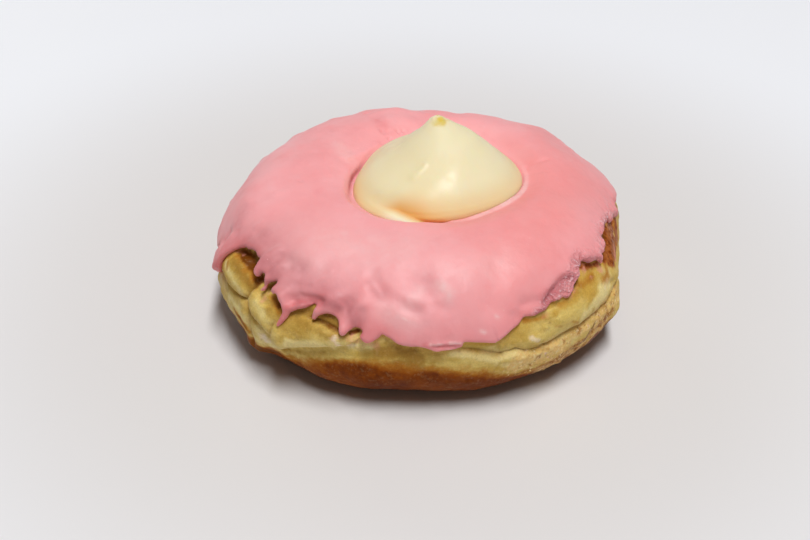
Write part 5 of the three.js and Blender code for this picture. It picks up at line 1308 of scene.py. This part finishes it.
def dough_material():
    m = Nodes("fried_dough")
    brown, gold, pale, pit = m.attr("zones")
    amber, rough, dull_and_shade, deep = m.attr("more")
    film, white_smear_and_glint, speck, murky_shade = m.attr("marks")
    rust, crumb, _, _ = m.attr("extra")
    n1 = m.noise(260, 4, 0.6)
    n2 = m.noise(900, 3, 0.6)
    n3 = m.noise(90, 3, 0.55)
    n4 = m.noise(480, 3, 0.65)
    n5 = m.noise(2300, 2, 0.7)
    streak = m.noise(190, 3, 0.6, 0.3, (1, 1, 3.5))

    def jitter(value, source, amount):
        return m.math("ADD", value, m.math("MULTIPLY", m.math("SUBTRACT", source, 0.5), amount), True)

    # pale, risen dough that never touched the oil for long, greenish gold to cream
    col = m.mix(m.ramp(streak, 0.35, 0.65), lin(214, 185, 100), lin(226, 200, 120))
    col = m.mix(m.math("MULTIPLY", m.ramp(n1, 0.5, 0.72), 0.45), col, lin(190, 152, 66))
    col = m.mix(m.math("MULTIPLY", m.ramp(n2, 0.56, 0.74), 0.25), col, lin(232, 208, 136))
    col = m.mix(m.math("MULTIPLY", m.ramp(jitter(gold, n3, 1.0), 0.25, 1.0), 0.8), col, lin(200, 156, 64))
    # painted shade: the dull and murky tints darken the dough under the icing's overhang and in its dents, with patches
    # of dull dough
    col = m.mix(m.math("MULTIPLY", m.ramp(jitter(dull_and_shade, n1, 0.9), 0.1, 0.9), 0.85), col, lin(182, 152, 70))
    col = m.mix(m.math("MULTIPLY", m.ramp(jitter(murky_shade, n1, 0.6), 0.1, 0.8), 0.75), col, lin(166, 122, 52))
    # pale dough, with painted highlights along the lobes' edges and on lit rolls
    col = m.mix(m.math("MULTIPLY", m.ramp(jitter(pale, n4, 0.9), 0.12, 0.9), 0.88), col, lin(240, 221, 155))
    # browning: golden edge, chestnut, and darker low down
    b = jitter(jitter(brown, n1, 0.55), n2, 0.4)
    col = m.mix(m.ramp(b, 0.06, 0.46), col, lin(182, 122, 44))
    col = m.mix(m.ramp(b, 0.34, 0.78), col, lin(148, 74, 8))
    col = m.mix(m.math("MULTIPLY", m.ramp(b, 0.64, 0.96), m.ramp(n3, 0.35, 0.6, 0.55, 1.0)), col, lin(108, 46, 2))
    a = jitter(amber, n1, 0.6)
    col = m.mix(m.ramp(a, 0.08, 0.75), col, lin(188, 132, 50))
    col = m.mix(m.ramp(a, 0.6, 1.1), col, lin(148, 84, 26))
    r = jitter(rust, n4, 0.7)
    col = m.mix(m.math("MULTIPLY", m.ramp(r, 0.12, 0.7), 0.95), col, lin(166, 90, 40))
    col = m.mix(m.math("MULTIPLY", m.ramp(r, 0.4, 0.9), m.ramp(n2, 0.42, 0.6)), col, lin(126, 56, 14))
    # blistered crust: mottled brown with pale grains on it
    c = jitter(crumb, n1, 0.8)
    col = m.mix(m.math("MULTIPLY", m.ramp(c, 0.1, 0.7), m.ramp(n2, 0.36, 0.56, 0.3, 0.8)), col, lin(236, 194, 122))
    col = m.mix(m.math("MULTIPLY", m.ramp(c, 0.2, 0.8), m.ramp(n4, 0.53, 0.64, 0.0, 0.7)), col, lin(168, 104, 40))
    toast = m.math("MULTIPLY", m.ramp(a, 0.3, 0.9), m.ramp(c, 0.1, 0.6))
    col = m.mix(m.math("MULTIPLY", toast, m.ramp(n2, 0.40, 0.58, 0.95, 0.3)), col, lin(158, 98, 44))
    # painted shade in the hollows under the icing, with brown crust patches
    e = jitter(deep, n4, 0.5)
    col = m.mix(m.ramp(e, 0.15, 0.8), col, lin(116, 64, 12))
    # pale grains on the rough crust, partly painted highlight for its greasy glints
    spot = m.ramp(m.noise(1350, 2, 0.6), 0.52, 0.64)
    grainy = m.math("MAXIMUM", crumb, m.math("MULTIPLY", rough, m.ramp(brown, 0.2, 0.8, 1.0, 0.25)))
    grains_and_glints = m.math("MULTIPLY", spot, m.math("MULTIPLY", m.ramp(m.noise(330, 2), 0.42, 0.6, 0.15, 1.0), m.ramp(grainy, 0.05, 0.6, 0.08, 1.0)))
    col = m.mix(m.math("MULTIPLY", grains_and_glints, 0.85), col, lin(250, 226, 172))
    dark = m.math("MULTIPLY", m.ramp(n2, 0.60, 0.72), m.ramp(n1, 0.45, 0.6))
    col = m.mix(m.math("MULTIPLY", dark, 0.35), col, lin(134, 84, 26))
    # painted shade in the creases
    col = m.mix(m.math("MULTIPLY", pit, 0.6), col, lin(164, 116, 38))
    # crumbs and smears of icing
    grains = m.ramp(m.voronoi(900), 0.12, 0.42, 1.0, 0.0)
    sugar = m.math("MULTIPLY", speck, m.math("MULTIPLY", grains, m.ramp(n4, 0.42, 0.58)))
    col = m.mix(m.math("MULTIPLY", sugar, 0.85), col, lin(244, 206, 182))
    f = jitter(jitter(film, n4, 0.8), n2, 0.5)
    col = m.mix(m.math("MULTIPLY", m.ramp(f, 0.2, 1.0), 0.75), col, lin(228, 156, 134))
    # painted glints: white spots on the crust stand for greasy highlights, partly sticky white smears
    w = jitter(jitter(white_smear_and_glint, n4, 0.9), n2, 0.6)
    col = m.mix(m.math("MULTIPLY", m.ramp(w, 0.25, 1.0), 0.85), col, lin(246, 226, 200))
    col = m.mix(1.0, col, m.ramp(n5, 0.3, 0.7, 0.92, 1.06), "MULTIPLY")
    height = m.math("ADD", m.math("MULTIPLY", n2, 0.6), m.math("MULTIPLY", n1, 0.8))
    normal = m.bump(height, 0.45, 0.0006)
    normal = m.bump(n5, 0.1, 0.0003, normal)
    ro = m.ramp(m.noise(210, 3), 0.3, 0.7, 0.38, 0.62)
    return m.set(color=col, rough=ro, normal=normal, sss=0.12, sss_scale=0.0025, sss_radius=(1.0, 0.5, 0.2), specular=0.08)


def icing_material():
    m = Nodes("pink_icing")
    low, thin, torn, bloom = m.attr("zones")
    side, thick, skirt, coral = m.attr("more")
    mauve_thin_and_shade, rose, pale, lilac_crumbs_and_glints = m.attr("tint")
    n1 = m.noise(45, 3, 0.5)
    n2 = m.noise(160, 3, 0.6)
    n3 = m.noise(700, 2, 0.6)
    n4 = m.noise(380, 3, 0.6)
    n5 = m.noise(1100, 2, 0.65)
    col = m.mix(m.ramp(n1, 0.35, 0.65), lin(247, 162, 165), lin(251, 174, 178))
    col = m.mix(m.math("MULTIPLY", m.ramp(bloom, 0.45, 0.95), 0.28), col, lin(250, 184, 187))
    col = m.mix(m.math("MULTIPLY", m.ramp(n2, 0.5, 0.75), 0.25), col, lin(235, 144, 148))
    col = m.mix(m.math("MULTIPLY", coral, 0.6), col, lin(246, 150, 148))
    col = m.mix(m.math("MULTIPLY", skirt, 0.22), col, lin(230, 134, 136))
    col = m.mix(m.math("MULTIPLY", low, 0.22), col, lin(222, 122, 124))
    # painted shade on the coat's left front near its edge, which faces away from the light
    col = m.mix(m.math("MULTIPLY", side, 0.28), col, lin(206, 140, 140))
    col = m.mix(m.math("MULTIPLY", m.math("MULTIPLY", thin, low), 0.3), col, lin(206, 120, 110))
    # painted shade: the mauve tint darkens the coat where it turns from the light, in its folds and by the cream, over
    # thin coat that shows the dough
    col = m.mix(m.math("MULTIPLY", m.math("MULTIPLY", mauve_thin_and_shade, m.ramp(n2, 0.3, 0.7, 0.7, 1.0)), 0.95), col, lin(184, 104, 110))
    # rose tint: deeper pink coat, and in one row a painted shadow under the front lip
    col = m.mix(m.math("MULTIPLY", m.math("MULTIPLY", rose, m.ramp(n4, 0.3, 0.7, 0.6, 1.0)), 0.8), col, lin(220, 108, 110))
    # painted highlights on lit lips and ridges of the coat, and paler patches
    col = m.mix(m.math("MULTIPLY", m.math("MULTIPLY", pale, m.ramp(n4, 0.3, 0.6, 0.6, 1.0)), 0.75), col, lin(252, 210, 208))
    # painted shade and highlight: dark patches and pale flecks on the torn edge stand for the shade and glints of its
    # crumbs
    col = m.mix(m.math("MULTIPLY", torn, m.ramp(n4, 0.47, 0.6, 0.0, 0.55)), col, lin(192, 106, 112))
    col = m.mix(m.math("MULTIPLY", torn, m.ramp(n5, 0.54, 0.68, 0.0, 0.4)), col, lin(236, 186, 190))
    # lilac crumbs with painted glints on the torn edge
    col = m.mix(m.math("MULTIPLY", lilac_crumbs_and_glints, m.ramp(n5, 0.48, 0.66, 0.05, 0.65)), col, lin(238, 198, 204))
    fleck = m.ramp(m.voronoi(420), 0.02, 0.10, 1.0, 0.0)
    col = m.mix(m.math("MULTIPLY", m.math("MULTIPLY", fleck, m.ramp(m.noise(120, 1), 0.55, 0.62)), 0.4), col, lin(252, 206, 202))
    height = m.math("ADD", m.math("MULTIPLY", n3, 0.25), m.math("MULTIPLY", n2, 1.0))
    normal = m.bump(height, 0.2, 0.0008)
    normal = m.bump(n5, 0.06, 0.0003, normal)
    crumbly = m.math("MULTIPLY", m.math("MAXIMUM", torn, m.math("MULTIPLY", lilac_crumbs_and_glints, 0.7)), m.ramp(n5, 0.35, 0.65))
    normal = m.bump(crumbly, 0.7, 0.0007, normal)
    ro = m.ramp(n2, 0.3, 0.7, 0.42, 0.56)
    return m.set(color=col, rough=ro, normal=normal, sss=0.3, sss_scale=0.0022, sss_radius=(1.0, 0.45, 0.4), specular=0.35)


def cream_material():
    m = Nodes("custard_cream")
    deep, crust, foot, tongue = m.attr("zones")
    gloss, top, _, _ = m.attr("wet")
    n1 = m.noise(60, 2, 0.5)
    n2 = m.noise(500, 2, 0.5)
    col = m.mix(m.ramp(n1, 0.3, 0.7), lin(240, 227, 184), lin(243, 232, 194))
    col = m.mix(m.math("MULTIPLY", top, 0.6), col, lin(239, 230, 194))
    # painted bounce light and shade at the cream's foot
    col = m.mix(m.math("MULTIPLY", foot, 0.75), col, lin(240, 204, 140))
    # painted shade in the groove under the lap
    col = m.mix(m.math("MULTIPLY", deep, 0.85), col, lin(240, 176, 88))
    # painted highlight on the tongue's top
    col = m.mix(m.math("MULTIPLY", tongue, 0.8), col, lin(252, 240, 206))
    col = m.mix(m.math("MULTIPLY", crust, m.ramp(n2, 0.3, 0.6, 0.6, 1.0)), col, lin(222, 196, 84))
    normal = m.bump(n1, 0.05, 0.001)
    normal = m.bump(n2, 0.05, 0.0004, normal)
    coat = m.math("MULTIPLY", gloss, m.ramp(n2, 0.36, 0.6, 0.22, 0.46))
    return m.set(color=col, rough=0.52, normal=normal, sss=0.45, sss_scale=0.004, sss_radius=(1.0, 0.7, 0.35), specular=0.22, coat=coat, coat_rough=0.26)


def floor_material():
    m = Nodes("floor")
    n = m.noise(3, 2, 0.5)
    move = m.t.nodes.new("ShaderNodeVectorMath")
    move.operation = "ADD"
    m.t.links.new(m.coord, move.inputs[0])
    move.inputs[1].default_value = (0.0, 0.6, 0.0)
    length = m.t.nodes.new("ShaderNodeVectorMath")
    length.operation = "LENGTH"
    m.t.links.new(move.outputs[0], length.inputs[0])
    # near the bun the plate's warm grey; further off a brighter, cooler colour, partly a painted pool of light that
    # makes up for the lamp's fall-off
    near = m.mix(m.ramp(n, 0.3, 0.7), lin(222, 220, 220), lin(224, 222, 222))
    far = m.mix(m.ramp(n, 0.3, 0.7), lin(243, 246, 252), lin(244, 247, 253))
    col = m.mix(m.ramp(length.outputs["Value"], 0.07, 0.19), near, far)
    return m.set(color=col, rough=0.5, specular=0.25)


# ------------------------------------------------------------------------------------------------- the pieces
dough = build_dough()
icing = build_icing()
cream = build_cream()
for piece, node, material in ((dough, "dough", dough_material()), (icing, "icing", icing_material()), (cream, "cream", cream_material())):
    piece.data.materials.append(material)
    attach(piece, "root")
    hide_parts(node)

# ------------------------------------------------------------------------------------------------- floor, light, camera
bpy.ops.mesh.primitive_plane_add(size=6.0, location=(0, 0.6, 0))
floor = bpy.context.object
floor.name = "floor"
floor.data.materials.append(floor_material())

world = bpy.data.worlds.new("studio")
bpy.context.scene.world = world
world.use_nodes = True
background = world.node_tree.nodes["Background"]
background.inputs[0].default_value = (1.0, 0.85, 0.7, 1.0)
background.inputs[1].default_value = 0.15


def area(name, at, target, size, size_y, power, color=(1, 1, 1)):
    light = bpy.data.lights.new(name, "AREA")
    light.shape = "ELLIPSE"
    light.size, light.size_y = size, size_y
    light.energy = power
    light.color = color
    obj = bpy.data.objects.new(name, light)
    bpy.context.scene.collection.objects.link(obj)
    z = (np.array(at, float) - np.array(target, float))
    z /= np.linalg.norm(z)
    x = np.cross((0, 1, 0.01), z)
    x /= np.linalg.norm(x)
    y = np.cross(z, x)
    obj.matrix_world = Matrix([[x[0], y[0], z[0], at[0]], [x[1], y[1], z[1], at[1]], [x[2], y[2], z[2], at[2]], [0, 0, 0, 1]])
    return obj


area("overhead", (0.35, -0.95, 4.0), (0.35, -0.95, 0), 0.8, 2.8, 155.0, (0.985, 0.992, 1.0))
area("window", (-0.752, 1.302, 0.547), (0, 0, 0.02), 0.8, 0.8, 2.0, (1.0, 1.0, 1.0))

camera_data = bpy.data.cameras.new("camera")
camera_data.sensor_fit = "HORIZONTAL"
camera_data.sensor_width = 36.0
camera_data.lens = 1250.0 / 810.0 * 36.0
camera_data.clip_start = 0.01
camera_data.clip_end = 20.0
camera = bpy.data.objects.new("camera", camera_data)
bpy.context.scene.collection.objects.link(camera)
forward = np.array([0.0, 0.814, -0.5809])
forward /= np.linalg.norm(forward)
right = np.array([0.9998, 0.0112, 0.0156])
right -= forward * (right @ forward)
right /= np.linalg.norm(right)
up = np.cross(right, forward)
at = np.array([-4.44, -271.36, 200.61]) * MM
camera.matrix_world = Matrix([[right[k], up[k], -forward[k], at[k]] for k in range(3)] + [[0, 0, 0, 1]])
bpy.context.scene.camera = camera
bpy.context.scene.view_settings.view_transform = "Standard"
